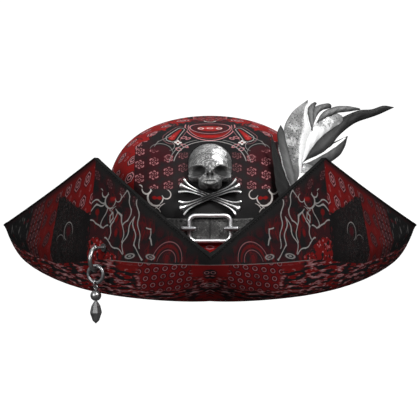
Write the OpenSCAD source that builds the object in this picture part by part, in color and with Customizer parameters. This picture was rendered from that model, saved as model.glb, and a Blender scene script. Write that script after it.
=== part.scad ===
// Pirate hat: three-cornered felt hat with a feather plume, a skull badge, a front buckle ring and a charm.
// The origin is the centre of the head opening, on the underside of the brim. +X is the wearer's left,
// which is the right side as seen from the front. +Y points to the back and +Z up.

/* [Crown] */
// Width of the crown at its base
crown_w = 176; // [172:1:184]
// Depth of the crown from front to back
crown_d = 210; // [206:1:216]
// Height of the crown above the underside of the brim
crown_h = 141; // [136:1:150]
// How square the dome is: higher values keep the wall upright for longer
dome_power = 5.4; // [4.8:0.1:6]

/* [Brim] */
// How far the beak reaches in front of the head opening's centre
beak_reach = 185; // [180:1:195]
// Height of the beak's tip
beak_z = 42; // [40:1:46]
// Half of the hat's whole width, at the rear corners
corner_x = 183; // [175:1:190]
// Height of the rear corners
corner_z = 40; // [38:1:44]
// Height of the side flaps' peaks
peak_z = 109.5; // [100:0.5:114]
// Height of the back flap's peak
back_peak_z = 104; // [95:1:108]
// How far the rim sags between its peaks and corners
rim_sag = 1.2; // [0:0.2:3]
// How far the side folds bow outwards
side_bow = 24; // [20:1:28]
// How far the back fold bows outwards
back_bow = 36; // [30:1:40]

/* [Hat band] */
// Height of the band's lower edge
band_z = 45; // [42:1:48]
// Width of the band
band_h = 19; // [16:1:22]

/* [Buckle ring] */
// Outer width of the ring
ring_w = 36; // [34:0.5:38]
// Outer height of the ring
ring_h = 23.5; // [22:0.5:25]
// Diameter of the ring's wire
ring_wire = 3.2; // [2.6:0.1:3.4]

/* [Skull badge] */
// Width of the skull
skull_w = 34; // [30:1:35]
// Height of the skull along the badge
skull_h = 41; // [38:1:41]
// Half the length of each crossed bone, between its lobes
bone_half = 23.6; // [20:0.1:24]

/* [Charm] */
// Centreline radius of the hook
hook_r = 8.8; // [8.4:0.1:9.2]
// Centreline radius of the charm ring
charm_ring_r = 6.7; // [6.4:0.1:7]
// Diameter of the bead
bead_d = 8.8; // [8:0.2:9.2]
// Length of the drop
drop_len = 18; // [16:0.5:20]

/* [Hidden] */

eps = 0.01;
fine = 48;
// Clearance round a pin or a shank, and the overshoot of a tool that cuts right through
fit = 0.1;
over = 10;

// Layers of the crown, as depths below the cover's face
cover_t = 0.9;
crown_stiff_top = 1.1;
crown_stiff_low = 2.7;
crown_line_top = 2.9;
crown_line_low = 3.4;
crown_cols = 48;
crown_rows = 9;
crown_spread = 1.8;

// Layers of the brim, as depths inside the outer cover's face
board_top = 1.25;
board_low = 2.75;
inner_top = 3.1;
inner_low = 3.9;
crown_base_z = inner_low + 0.2;

// Head opening and the flat ring that rests on the wearer's hair
inner_x = 84;
inner_y = 101;
flat_x = 96.5;
flat_y = 108;
sweat_x = 83.5;
sweat_y = 100.5;
sweat_t = 1.2;
sweat_h = 34;

// Plan of the brim: the fold where each flap turns up
fold_front = [0, -181];
fold_corner = [180.8, 98.6];
fold_end_z = 36;
fold_dip = 6;
peak_at = 0.45;
peak_xy = [93.7, -60];
back_peak_y = 126;
corner_y = 100;
flap_cols = 20;
bowl_steps = [0.6, 0.78, 0.88, 0.95, 1];
// How late the bowl turns up towards the fold: gently under the beak, sharply elsewhere
beak_power = 2.4;
bowl_power = 7;
beak_share = 0.35;
flap_steps = [0.5, 1];

binding_leg = 2.6;
binding_cap = 1.2;
binding_t = 0.7;
binding_gap = 0.25;

band_gap = 0.3;
band_t = 1.2;
band_seam = 0.25;

function unit(v) = v / norm(v);
function lerp(a, b, t) = a + (b - a) * t;
function bump(v) = 4 * v * (1 - v);
function mirror_x(p) = len(p) == 3 ? [-p.x, p.y, p.z] : [-p.x, p.y];
function total(list, i = 0) = i == len(list) - 1 ? list[i] : list[i] + total(list, i + 1);
function mean(list) = total(list) / len(list);

// ---- Closed sheets between two grids of points ----

// Faces of a sheet with its outer grid first. "closed" joins the last column to the first.
function sheet_faces(rows, cols, closed) =
    let (half = rows * cols,
         spans = closed ? cols : cols - 1)
    concat(
        [for (i = [0 : rows - 2], j = [0 : spans - 1])
            let (a = i * cols + j, b = i * cols + (j + 1) % cols, c = b + cols, d = a + cols)
            each [[a, c, b], [a, d, c], [a + half, b + half, c + half], [a + half, c + half, d + half]]],
        [for (j = [0 : spans - 1])
            let (a = j, b = (j + 1) % cols)
            each [[a, b, b + half], [a, b + half, a + half]]],
        [for (j = [0 : spans - 1])
            let (top = (rows - 1) * cols, a = top + j, b = top + (j + 1) % cols)
            each [[b, a, a + half], [b, a + half, b + half]]],
        closed ? [] :
        [for (i = [0 : rows - 2])
            let (a = i * cols, d = a + cols)
            each [[d, a, a + half], [d, a + half, d + half]]],
        closed ? [] :
        [for (i = [0 : rows - 2])
            let (b = i * cols + cols - 1, c = b + cols)
            each [[b, c, c + half], [b, c + half, b + half]]]);

module sheet(outer, inner, closed = true)
{
    polyhedron(
        points = concat([for (row = outer) each row], [for (row = inner) each row]),
        faces = sheet_faces(len(outer), len(outer[0]), closed));
}

// ---- Crown ----

function dome_scale(z) = sqrt(1 - pow(z / crown_h, dome_power));

function crown_face(a, z) =
    [crown_w / 2 * dome_scale(z) * cos(a), crown_d / 2 * dome_scale(z) * sin(a), z];

function crown_normal(p) =
    unit([p.x / pow(crown_w / 2, 2), p.y / pow(crown_d / 2, 2),
          dome_power / 2 * pow(p.z / crown_h, dome_power) / p.z]);

// A point of the crown at angle a and height z, moved in by the given depth
function crown_point(a, z, depth) =
    let (p = crown_face(a, z)) p - depth * crown_normal(p);

function crown_row_z(k) =
    crown_base_z + (crown_h - crown_base_z) * (1 - pow(1 - k / crown_rows, crown_spread));

function crown_grid(depth) =
    [for (k = [0 : crown_rows - 1])
        [for (j = [0 : crown_cols - 1]) crown_point(j * 360 / crown_cols, crown_row_z(k), depth)]];

// One closed layer of the dome, with a fan at its top
module crown_layer(outer_depth, inner_depth)
{
    outer = crown_grid(outer_depth);
    inner = crown_grid(inner_depth);
    half = crown_rows * crown_cols;
    top = half - crown_cols;
    apex = 2 * half;
    side = sheet_faces(crown_rows, crown_cols, true);
    wall = 4 * (crown_rows - 1) * crown_cols + 2 * crown_cols;
    polyhedron(
        points = concat([for (row = outer) each row], [for (row = inner) each row],
                        [[0, 0, crown_h - outer_depth], [0, 0, crown_h - inner_depth]]),
        faces = concat(
            [for (i = [0 : wall - 1]) side[i]],
            [for (j = [0 : crown_cols - 1])
                let (a = top + j, b = top + (j + 1) % crown_cols)
                each [[b, a, apex], [a + half, b + half, apex + 1]]]));
}

module crown_cover()
{
    color("firebrick")
    difference() {
        crown_layer(0, cover_t);
        crown_holes();
    }
}

module crown_stiffener()
{
    color("dimgray")
    difference() {
        crown_layer(crown_stiff_top, crown_stiff_low);
        crown_holes();
    }
}

module crown_lining()
{
    color("black")
    difference() {
        crown_layer(crown_line_top, crown_line_low);
        crown_holes();
    }
}

// Everything that is pushed through the crown
module crown_holes()
{
    keeper_holes();
    rivet_holes();
    on_skull() for (p = post_at) post_hole(p);
    on_bones() post_hole([0, 0]);
}

// Upright elliptical tube inside the head opening
module sweatband()
{
    outer = [for (z = [0.2, sweat_h])
        [for (j = [0 : crown_cols - 1])
            [sweat_x * cos(j * 360 / crown_cols), sweat_y * sin(j * 360 / crown_cols), z]]];
    inner = [for (row = outer) [for (p = row) p - sweat_t * unit([p.x, p.y, 0])]];
    color("saddlebrown") sheet(outer, inner);
}

// ---- Brim: one grid of points for its outer face, layers set in from it ----

side_out = unit([fold_corner.y - fold_front.y, fold_front.x - fold_corner.x]);

function fold_side(v) =
    let (p = lerp(fold_front, fold_corner, v) + side_out * side_bow * bump(v))
    [p.x, p.y, fold_end_z - fold_dip * bump(v)];

function fold_back(v) =
    let (p = lerp(fold_corner, mirror_x(fold_corner), v) + [0, back_bow * bump(v)])
    [p.x, p.y, fold_end_z - fold_dip * bump(v)];

beak = [0, -beak_reach, beak_z];
corner = [corner_x, corner_y, corner_z];
side_peak = [peak_xy.x, peak_xy.y, peak_z];
back_peak = [0, back_peak_y, back_peak_z];

// Straight rim between two points, with its middle a little lower
function sagging(a, b, t) = lerp(a, b, t) - [0, 0, rim_sag * bump(t)];

function rim_side(v) =
    v < peak_at ? sagging(beak, side_peak, v / peak_at)
                : sagging(side_peak, corner, (v - peak_at) / (1 - peak_at));

function rim_back(v) =
    v < 0.5 ? sagging(corner, back_peak, 2 * v)
            : sagging(back_peak, mirror_x(corner), 2 * v - 1);

// The three flaps follow each other round the rim: right, back, left
function fold_at(f, v) = f == 0 ? fold_side(v) : f == 1 ? fold_back(v) : mirror_x(fold_side(1 - v));
function rim_at(f, v) = f == 0 ? rim_side(v) : f == 1 ? rim_back(v) : mirror_x(rim_side(1 - v));
function beak_near(f, v) = f == 1 ? 0 : max(0, 1 - (f == 0 ? v : 1 - v) / beak_share);

brim_cols = 3 * flap_cols;

function brim_column(c) =
    let (f = floor(c / flap_cols),
         v = (c % flap_cols) / flap_cols,
         fold = fold_at(f, v),
         rim = rim_at(f, v),
         a = atan2(fold.y / flat_y, fold.x / flat_x),
         flat = [flat_x * cos(a), flat_y * sin(a)],
         plan = [fold.x, fold.y],
         power = lerp(bowl_power, beak_power, beak_near(f, v)))
    concat(
        [[inner_x * cos(a), inner_y * sin(a), 0], [flat.x, flat.y, 0]],
        [for (w = bowl_steps) let (p = lerp(flat, plan, w)) [p.x, p.y, fold.z * pow(w, power)]],
        [for (s = flap_steps) lerp(fold, rim, s)]);

brim_columns = [for (c = [0 : brim_cols - 1]) brim_column(c)];
brim_rows = len(brim_columns[0]);
fold_row = 1 + len(bowl_steps);
brim_face = [for (i = [0 : brim_rows - 1]) [for (c = [0 : brim_cols - 1]) brim_columns[c][i]]];

function cell_normal(i, j) =
    let (k = (j + 1) % brim_cols)
    unit(cross(brim_face[i + 1][k] - brim_face[i][j], brim_face[i + 1][j] - brim_face[i][k]));

// Outward step at a grid point that moves every cell around it by about one unit
function brim_step(i, j) =
    let (near = [for (r = [i - 1, i], c = [j - 1, j])
                    if (r >= 0 && r < brim_rows - 1) cell_normal(r, (c + brim_cols) % brim_cols)],
         m = unit(total(near)),
         share = mean([for (n = near) n * m]))
    m / share;

brim_steps = [for (i = [0 : brim_rows - 1]) [for (j = [0 : brim_cols - 1]) brim_step(i, j)]];

function brim_point(i, j, depth) = brim_face[i][j % brim_cols] - depth * brim_steps[i][j % brim_cols];

function brim_grid(depth) =
    [for (i = [0 : brim_rows - 1]) [for (j = [0 : brim_cols - 1]) brim_point(i, j, depth)]];

module brim_layer(outer_depth, inner_depth)
{
    sheet(brim_grid(outer_depth), brim_grid(inner_depth));
}

// Bowl of the brim board: it stops just short of the fold
board_end = 0.8;

function bowl_grid(depth) =
    concat(
        [for (i = [0 : fold_row - 1]) [for (j = [0 : brim_cols - 1]) brim_point(i, j, depth)]],
        [[for (j = [0 : brim_cols - 1])
            lerp(brim_point(fold_row - 1, j, depth), brim_point(fold_row, j, depth), board_end)]]);

// Each flap board starts just above the fold and stops short of the corners and of the rim
flap_start = 0.05;
flap_stop = 0.97;
flap_trim = 0.25;

function flap_column(f, k, depth) =
    let (j = f * flap_cols + k)
    [lerp(brim_point(fold_row, j, depth), brim_point(fold_row + 1, j, depth), flap_start),
     brim_point(fold_row + 1, j, depth),
     lerp(brim_point(fold_row + 1, j, depth), brim_point(fold_row + 2, j, depth), flap_stop)];

function flap_grid(f, depth) =
    let (full = [for (k = [0 : flap_cols]) flap_column(f, k, depth)],
         n = flap_cols,
         cols = concat([lerp(full[0], full[1], flap_trim)],
                       [for (k = [1 : n - 1]) full[k]],
                       [lerp(full[n], full[n - 1], flap_trim)]))
    [for (i = [0 : 2]) [for (c = cols) c[i]]];

module flap_board(f)
{
    sheet(flap_grid(f, board_top), flap_grid(f, board_low), false);
}

module brim_board()
{
    color("dimgray") sheet(bowl_grid(board_top), bowl_grid(board_low));
}

module flap_board_right()
{
    color("dimgray") flap_board(0);
}

module flap_board_back()
{
    color("dimgray") flap_board(1);
}

// The charm's eyelet passes through the left flap
module flap_board_left()
{
    color("dimgray")
    difference() {
        flap_board(2);
        eyelet_hole();
    }
}

module brim_outer_cover()
{
    color("firebrick")
    difference() {
        brim_layer(0, cover_t);
        eyelet_hole();
    }
}

module brim_inner_cover()
{
    color("black")
    difference() {
        brim_layer(inner_top, inner_low);
        eyelet_hole();
    }
}

// A point near the rim: "down" is measured from the rim towards the fold
function rim_point(j, depth, down) =
    let (top = brim_point(brim_rows - 1, j, depth),
         low = brim_point(brim_rows - 2, j, depth),
         span = norm(brim_face[brim_rows - 2][j] - brim_face[brim_rows - 1][j]))
    lerp(top, low, down / span);

// Folded tape that wraps the rim: its section is a U, listed from the outer leg's foot
binding_section = [
    [-binding_gap, binding_leg],
    [-binding_gap - binding_t, binding_leg],
    [-binding_gap - binding_t, -binding_cap / 2],
    [-binding_gap, -binding_cap],
    [inner_low + binding_gap, -binding_cap],
    [inner_low + binding_gap + binding_t, -binding_cap / 2],
    [inner_low + binding_gap + binding_t, binding_leg],
    [inner_low + binding_gap, binding_leg],
    [inner_low + binding_gap, -binding_gap],
    [-binding_gap, -binding_gap]];

module edge_binding()
{
    n = len(binding_section);
    color("black")
    polyhedron(
        points = [for (j = [0 : brim_cols - 1]) each
                     [for (q = binding_section) rim_point(j, q[0], q[1])]],
        faces = [for (j = [0 : brim_cols - 1], k = [0 : n - 1])
                    let (a = j * n + k, b = j * n + (k + 1) % n,
                         next = ((j + 1) % brim_cols) * n, c = next + (k + 1) % n, d = next + k)
                    each [[a, b, c], [a, c, d]]]);
}

// ---- Hat band ----

module band_half(side)
{
    spans = crown_cols / 2;
    angles = [for (k = [0 : spans])
        let (a = k * 180 / spans)
        -90 + (k == 0 ? band_seam : k == spans ? a - band_seam : a)];
    outer = [for (z = [band_z, band_z + band_h])
        [for (a = angles) crown_point(a, z, -band_gap - band_t)]];
    inner = [for (z = [band_z, band_z + band_h])
        [for (a = angles) crown_point(a, z, -band_gap)]];
    mirror([side < 0 ? 1 : 0, 0, 0]) sheet(outer, inner, false);
}

module hat_band_right()
{
    color("gray")
    difference() {
        band_half(1);
        keeper_holes();
        rivet_holes();
    }
}

module hat_band_left()
{
    color("gray")
    difference() {
        band_half(-1);
        keeper_holes();
        rivet_holes();
    }
}

tab_gap = 0.2;
tab_t = 1;
tab_spread = 9;
tab_inset = 3;
tab_cols = 6;
tab_face = -band_gap - band_t - tab_gap - tab_t;

// Patch of the band's leather across the seam at the back
module hat_band_tab()
{
    angles = [for (k = [0 : tab_cols]) 90 + tab_spread * (2 * k / tab_cols - 1)];
    heights = [band_z + tab_inset, band_z + band_h - tab_inset];
    outer = [for (z = heights) [for (a = angles) crown_point(a, z, tab_face)]];
    inner = [for (z = heights) [for (a = angles) crown_point(a, z, tab_face + tab_t)]];
    color("gray")
    difference() {
        sheet(outer, inner, false);
        rivet_holes();
    }
}

rivet_head_r = 2.4;
rivet_head_t = 0.9;
rivet_shank_r = 1.1;
rivet_a = 6;
rivet_lean = 7;
rivet_len = 7.6;
rivet_seat = tab_face - 0.2;

module on_rivets()
{
    for (side = [-1, 1])
        translate(crown_point(90 - side * rivet_a, band_z + band_h / 2, rivet_seat))
        rotate([-90, 0, -side * rivet_lean])
        children();
}

module rivet_holes()
{
    on_rivets()
    translate([0, 0, -over]) cylinder(r = rivet_shank_r + fit, h = over + rivet_head_t, $fn = fine);
}

// Two rivets at the back hold the patch and the ends of the band's halves
module hat_band_rivets()
{
    color("silver")
    on_rivets() {
        cylinder(r = rivet_head_r, h = rivet_head_t, $fn = fine);
        translate([0, 0, -rivet_len]) cylinder(r = rivet_shank_r, h = rivet_len + eps, $fn = fine);
        translate([0, 0, -rivet_len - eps]) cylinder(r = rivet_head_r, h = rivet_head_t, $fn = fine);
    }
}

// ---- Buckle ring and its keepers ----

ring_r = ring_wire / 2;
ring_z = band_z + 12;
ring_corner = 5;
ring_half_w = ring_w / 2 - ring_r;
ring_half_h = ring_h / 2 - ring_r;
band_front_y = -norm(crown_point(-90, ring_z, -band_gap - band_t) - [0, 0, ring_z]);
ring_y = band_front_y - 0.3 - ring_r;

module round_bar(length, r)
{
    cylinder(r = r, h = length, center = true, $fn = fine);
}

module buckle_ring()
{
    x = ring_half_w - ring_corner;
    z = ring_half_h - ring_corner;
    color("gainsboro")
    translate([0, ring_y, ring_z])
    union() {
        for (side = [-1, 1]) {
            translate([side * ring_half_w, 0, 0]) round_bar(2 * z, ring_r);
            translate([0, 0, side * ring_half_h]) rotate([0, 90, 0]) round_bar(2 * x, ring_r);
        }
        for (quarter = [0 : 3])
            translate([(quarter % 3 == 0 ? 1 : -1) * x, 0, (quarter < 2 ? 1 : -1) * z])
            rotate([90, 0, 0])
            rotate([0, 0, quarter * 90])
            rotate_extrude(angle = 90, $fn = fine)
            translate([ring_corner, 0]) circle(r = ring_r, $fn = fine);
    }
}

keeper_r = 2;
keeper_leg_r = 1.1;
keeper_head_r = 1.6;
keeper_legs = [12.3, 21.2];
keeper_y = ring_y - ring_r - 0.15 - keeper_r;
plate_t = 0.8;
plate_gap = 0.8;
plate_half_h = 2.2;
leg_past = plate_gap + plate_t + 1.3;

// Depth of the lining's face behind a point of the ring's plane
function lining_y(x) =
    let (s = dome_scale(ring_z), a = crown_w / 2 * s - crown_line_low, b = crown_d / 2 * s - crown_line_low)
    -b * sqrt(1 - pow(x / a, 2));

module keeper_holes()
{
    for (side = [-1, 1], x = keeper_legs)
        translate([side * x, keeper_y, ring_z])
        rotate([-90, 0, 0]) cylinder(r = keeper_leg_r + fit, h = 3 * over, $fn = fine);
}

// Staple across the ring's side wire: a bar with two legs through the band and the crown, peened inside
module keeper(side)
{
    color("gainsboro")
    translate([0, 0, ring_z])
    union() {
        translate([side * mean(keeper_legs), keeper_y, 0])
        rotate([0, 90, 0]) round_bar(keeper_legs[1] - keeper_legs[0], keeper_r);
        for (x = keeper_legs) {
            translate([side * x, keeper_y, 0]) sphere(r = keeper_r, $fn = fine);
            translate([side * x, keeper_y, 0])
            rotate([-90, 0, 0]) cylinder(r = keeper_leg_r, h = lining_y(x) + leg_past - keeper_y, $fn = fine);
            translate([side * x, lining_y(x) + leg_past, 0]) sphere(r = keeper_head_r, $fn = fine);
        }
    }
}

module keeper_right()
{
    keeper(1);
}

module keeper_left()
{
    keeper(-1);
}

// Plates inside the crown, one under each keeper's peened legs
module keeper_plates()
{
    run = keeper_legs[1] - keeper_legs[0];
    rise = lining_y(keeper_legs[1]) - lining_y(keeper_legs[0]);
    length = norm([run, rise]) + 2 * plate_half_h;
    mid_y = (lining_y(keeper_legs[0]) + lining_y(keeper_legs[1])) / 2;
    color("silver")
    for (side = [-1, 1])
        difference() {
            translate([side * mean(keeper_legs), mid_y + plate_gap, ring_z])
            rotate([0, 0, side * atan2(rise, run)])
            translate([0, plate_t / 2, 0])
            cube([length, plate_t, 2 * plate_half_h], center = true);
            for (x = keeper_legs)
                translate([side * x, mid_y - over, ring_z])
                rotate([-90, 0, 0]) cylinder(r = keeper_leg_r + 3 * fit, h = 2 * over, $fn = fine);
        }
}

// ---- Skull badge and crossed bones ----

skull_z = 104;
skull_tilt = 28;
skull_seat = 1.3;
skull_origin = crown_point(-90, skull_z, 0)
    + skull_seat * [0, -cos(skull_tilt), sin(skull_tilt)];
back_curve_r = 60;
back_gap = 0.4;
skull_back = -4;
skull_top = 19;
cranium_r = skull_w / 2;
cranium_y = skull_top - cranium_r;
jaw_r = 9.4;
jaw_len = 17;
jaw_y = skull_top - skull_h;
cheek_r = 5.5;
cheek_at = [10.8, -8, 3];
eye_r = 4.8;
eye_at = [7.6, -8, 10.5];
nose_r = 2.4;
nose_at = [0, -12.8, 10];
tooth_gap = [0.5, 4.4, 3.6];
tooth_at = [0, -18, 9];
tooth_step = 3;

module on_skull()
{
    translate(skull_origin) rotate([90 - skull_tilt, 0, 0]) children();
}

// The back is hollowed to follow the dome, and a channel clears the bones
module skull_badge()
{
    color("silver")
    difference() {
        on_skull()
        difference() {
            union() {
                translate([0, cranium_y, -cranium_r / 5]) sphere(r = cranium_r, $fn = fine);
                translate([0, jaw_y, 0])
                rotate([-90, 0, 0]) cylinder(r = jaw_r, h = jaw_len, $fn = fine);
                for (side = [-1, 1])
                    translate([side * cheek_at.x, cheek_at.y, cheek_at.z]) sphere(r = cheek_r, $fn = fine);
            }
            translate([0, 0, -back_curve_r - back_gap]) sphere(r = back_curve_r, $fn = 2 * fine);
            translate([0, 0, skull_back - skull_h]) cube(2 * skull_h, center = true);
            for (side = [-1, 1])
                translate([side * eye_at.x, eye_at.y, eye_at.z]) sphere(r = eye_r, $fn = fine);
            translate(nose_at)
            rotate([0, 0, 90]) cylinder(r = nose_r, h = 3 * nose_r, $fn = 3, center = true);
            for (k = [-2 : 2])
                translate(tooth_at + [k * tooth_step, 0, 0]) cube(tooth_gap, center = true);
        }
        on_bones() for (side = [-1, 1]) bone_clearance(side);
        on_bones() post_hole([0, 0]);
        on_skull() for (p = post_at) post_hole(p);
    }
}

bones_z = 82;
bones_tilt = 10;
bone_r = 2.3;
lobe_r = 2.6;
lobe_apart = 3.6;
bone_rise = 22;
bones_seat = bone_r + 0.9;
bones_origin = crown_point(-90, bones_z, 0) + bones_seat * [0, -cos(bones_tilt), sin(bones_tilt)];
lap_gap = 0.15;

module on_bones()
{
    translate(bones_origin) rotate([90 - bones_tilt, 0, 0]) children();
}

module bone_clearance(side)
{
    rotate([0, 0, side * bone_rise])
    rotate([0, 90, 0]) round_bar(2 * bone_half, bone_r + 0.4);
}

// One bone that ends in a fan of three lobes. Half of its middle is cut away where the other bone crosses.
module bone(side, keep)
{
    difference() {
        rotate([0, 0, side * bone_rise])
        union() {
            rotate([0, 90, 0]) round_bar(2 * bone_half, bone_r);
            for (end = [-1, 1], fork = [-1, 0, 1])
                translate([end * bone_half, fork * lobe_apart, 0]) sphere(r = lobe_r, $fn = fine);
        }
        rotate([0, 0, -side * bone_rise])
        translate([0, 0, -keep * bone_r])
        cube([8 * bone_r, 2 * (bone_r + lap_gap), 2 * (bone_r + lap_gap / 2)], center = true);
    }
}

module bone_rising()
{
    color("lightgray") on_bones() bone(1, 1);
}

module bone_falling()
{
    color("lightgray") on_bones() bone(-1, -1);
}

post_r = 1.5;
post_at = [[0, 7], [0, -7]];
post_low = -10.4;
post_high = 3;
nut_r = 3.2;
nut_t = 2;
nut_low = -9.8;

module post_hole(p)
{
    translate([p.x, p.y, post_low - fit])
    cylinder(r = post_r + fit, h = post_high - post_low + 2 * fit, $fn = fine);
}

module post(p, high)
{
    translate([p.x, p.y, post_low]) cylinder(r = post_r, h = high - post_low, $fn = fine);
}

// Threaded posts from the skull and from the rear bone through the crown
module badge_posts()
{
    color("silver") {
        on_skull() for (p = post_at) post(p, post_high);
        on_bones() post([0, 0], -bone_r - fit / 2);
    }
}

module nut(p)
{
    translate([p.x, p.y, nut_low])
    difference() {
        cylinder(r = nut_r, h = nut_t, $fn = 6);
        translate([0, 0, -fit]) cylinder(r = post_r + fit / 2, h = nut_t + 2 * fit, $fn = fine);
    }
}

module badge_nuts()
{
    color("silver") {
        on_skull() for (p = post_at) nut(p);
        on_bones() nut([0, 0]);
    }
}

// ---- Feather plume: flat leaves stacked on one leaning plane ----

feather_base = [60, -88, 68];
feather_turn = 36.87;
feather_lean = 74.35;
leaf_t = 1;
leaf_step = 1.4;
leaf_samples = 12;
leaf_fullness = 0.75;

// Each leaf: root, bend, tip, widths to the left and right of its rib, place in the stack
main_leaf = [[16, 23], [31, 59], [42.5, 91], 16, 9, 0];
side_leaf = [[26, 39], [44, 65], [80, 78], 9, 8, -1];
dark_leaf = [[-1, 4], [-0.5, 30], [-2.4, 63.2], 5, 4.6, 2];
grey_leaf = [[6, 6], [11, 34], [9.4, 71], 5.5, 6, 1];
curl_inner = [[42, 64], [44, 80], [51.5, 89], 3, 3, 1];
curl_middle = [[42.5, 65], [50, 84], [68.5, 87], 4, 4, -2];
curl_outer = [[47, 71], [68, 88], [97.5, 82.5], 3, 3, 0];
tail_leaf = [[27, 40], [75, 74], [137, 84], 6, 6, -2];
low_leaf = [[27, 38.5], [57, 42], [81.5, 61], 5.6, 5.6, -3];
stem_leaf = [[15, 24], [24, 31], [36, 37], 3.2, 3.2, 2];

module on_feather()
{
    translate(feather_base) rotate([feather_lean, 0, feather_turn]) children();
}

function rib_point(leaf, t) =
    leaf[0] * (1 - t) * (1 - t) + leaf[1] * 2 * t * (1 - t) + leaf[2] * t * t;

function rib_side(leaf, t) =
    let (d = unit((leaf[1] - leaf[0]) * (1 - t) + (leaf[2] - leaf[1]) * t)) [-d.y, d.x];

function leaf_width(t) = pow(sin(180 * t), leaf_fullness);

function leaf_edge(leaf, t, side) =
    rib_point(leaf, t) + rib_side(leaf, t) * leaf_width(t) * (side > 0 ? leaf[3] : -leaf[4]);

module leaf(leaf)
{
    steps = [for (k = [1 : leaf_samples - 1]) k / leaf_samples];
    color("silver")
    on_feather()
    translate([0, 0, leaf[5] * leaf_step - leaf_t / 2])
    linear_extrude(height = leaf_t)
    polygon(concat(
        [leaf[0]],
        [for (t = steps) leaf_edge(leaf, t, -1)],
        [leaf[2]],
        [for (k = [1 : leaf_samples - 1]) leaf_edge(leaf, 1 - k / leaf_samples, 1)]));
}

module feather_main()
{
    leaf(main_leaf);
}

module feather_side()
{
    leaf(side_leaf);
}

module feather_dark_leaf()
{
    leaf(dark_leaf);
}

module feather_grey_leaf()
{
    leaf(grey_leaf);
}

module feather_curl_inner()
{
    leaf(curl_inner);
}

module feather_curl_middle()
{
    leaf(curl_middle);
}

module feather_curl_outer()
{
    leaf(curl_outer);
}

module feather_tail()
{
    leaf(tail_leaf);
}

module feather_low_leaf()
{
    leaf(low_leaf);
}

module feather_stem_leaf()
{
    leaf(stem_leaf);
}

quill_r = 1.3;
quill_foot = [-3, -21, -6.5];
quill_top = [14, 20, -1.2];
quill_dir = quill_top - quill_foot;
quill_len = norm(quill_dir);
wrap_at = 15;
wrap_h = 6;
wrap_r = 2.6;
socket_at = 1;
socket_h = 11;
socket_r = 2.6;
tab_w = 8;
sleeve_tab_t = 0.8;

// Local frame with +Z along the quill, starting at its foot. +X points at the crown.
module on_quill()
{
    on_feather()
    translate(quill_foot)
    rotate([0, 0, atan2(quill_dir.y, quill_dir.x)])
    rotate([0, atan2(norm([quill_dir.x, quill_dir.y]), quill_dir.z), 0])
    children();
}

module quill_bore(h)
{
    translate([0, 0, -fit]) cylinder(r = quill_r + fit / 2, h = h + 2 * fit, $fn = fine);
}

module feather_quill()
{
    color("whitesmoke")
    on_quill() cylinder(r1 = quill_r, r2 = 0.7 * quill_r, h = quill_len, $fn = fine);
}

module feather_wrap()
{
    color("dimgray")
    on_quill()
    translate([0, 0, wrap_at])
    difference() {
        cylinder(r = wrap_r, h = wrap_h, $fn = fine);
        quill_bore(wrap_h);
    }
}

// Leather tube that holds the quill, with a flat tab sewn down to the hat band
module feather_socket()
{
    color("dimgray")
    on_quill()
    translate([0, 0, socket_at])
    difference() {
        union() {
            cylinder(r = socket_r, h = socket_h, $fn = fine);
            translate([socket_r - sleeve_tab_t, -tab_w / 2, 0]) cube([sleeve_tab_t, tab_w, socket_h]);
        }
        quill_bore(socket_h);
    }
}

// ---- Charm: eyelet, hook, ring, link, pin, bead and drop ----

eyelet_v = 0.63;
eyelet_s = 0.14;
eyelet_r = 2;
eyelet_bore = 1.3;
flange_r = 3.3;
flange_t = 0.6;
// The shank is level and the flap leans, so the flanges stand off by this much
flange_gap = 0.8;

function left_flap(v, s) = lerp(fold_at(2, v), rim_at(2, v), s);

eyelet_p = left_flap(eyelet_v, eyelet_s);
eyelet_out = unit(cross(left_flap(eyelet_v + 0.01, eyelet_s) - left_flap(eyelet_v - 0.01, eyelet_s),
                        left_flap(eyelet_v, eyelet_s + 0.01) - left_flap(eyelet_v, eyelet_s - 0.01)));
// The shank lies level, so its axis is the flap's outward direction in plan
shank_out = unit([eyelet_out.x, eyelet_out.y, 0]);
shank_turn = atan2(shank_out.y, shank_out.x);

// Local frame at the eyelet with +Z pointing out of the flap
module on_eyelet()
{
    translate(eyelet_p) rotate([0, 90, shank_turn]) children();
}

module eyelet_hole()
{
    on_eyelet() translate([0, 0, -over]) cylinder(r = eyelet_r + 1.5 * fit, h = 2 * over, $fn = fine);
}

module charm_eyelet()
{
    low = -inner_low - flange_gap;
    color("dimgray")
    on_eyelet()
    difference() {
        union() {
            translate([0, 0, low]) cylinder(r = eyelet_r, h = flange_gap - low, $fn = fine);
            for (z = [flange_gap, low - flange_t])
                translate([0, 0, z]) cylinder(r = flange_r, h = flange_t, $fn = fine);
        }
        translate([0, 0, -over]) cylinder(r = eyelet_bore, h = 2 * over, $fn = fine);
    }
}

shank_r = 1.25;
shank_len = 9;
shank_in = 7.8;
hook_wire = 1.8;
knuckle_r = 2.3;
head_r = 1.8;
hook_lean = 0.84;
hook_turn = atan2(-0.893, -0.45);
hook_end = 38;
knuckle = eyelet_p + shank_len * shank_out;
hook_start = asin(hook_lean / hook_r);

// Local frame at the knuckle: +X points the way the hook bulges, +Z up
module on_knuckle()
{
    translate(knuckle) rotate([0, 0, hook_turn]) children();
}

module charm_hook()
{
    centre = [-hook_lean, 0, -hook_r * cos(hook_start)];
    color("gray")
    union() {
        on_eyelet() translate([0, 0, -shank_in]) cylinder(r = shank_r, h = shank_in + shank_len, $fn = fine);
        on_eyelet() translate([0, 0, -shank_in]) sphere(r = head_r, $fn = fine);
        on_knuckle() sphere(r = knuckle_r, $fn = fine);
        on_knuckle()
        translate(centre)
        rotate([90, 0, 0])
        rotate([0, 0, -90 - hook_end])
        rotate_extrude(angle = 180 + hook_end - hook_start, $fn = fine)
        translate([hook_r, 0]) circle(r = hook_wire, $fn = fine);
        on_knuckle()
        translate(centre)
        rotate([0, 90 + hook_end, 0])
        translate([hook_r, 0, 0]) sphere(r = knuckle_r, $fn = fine);
    }
}

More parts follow.
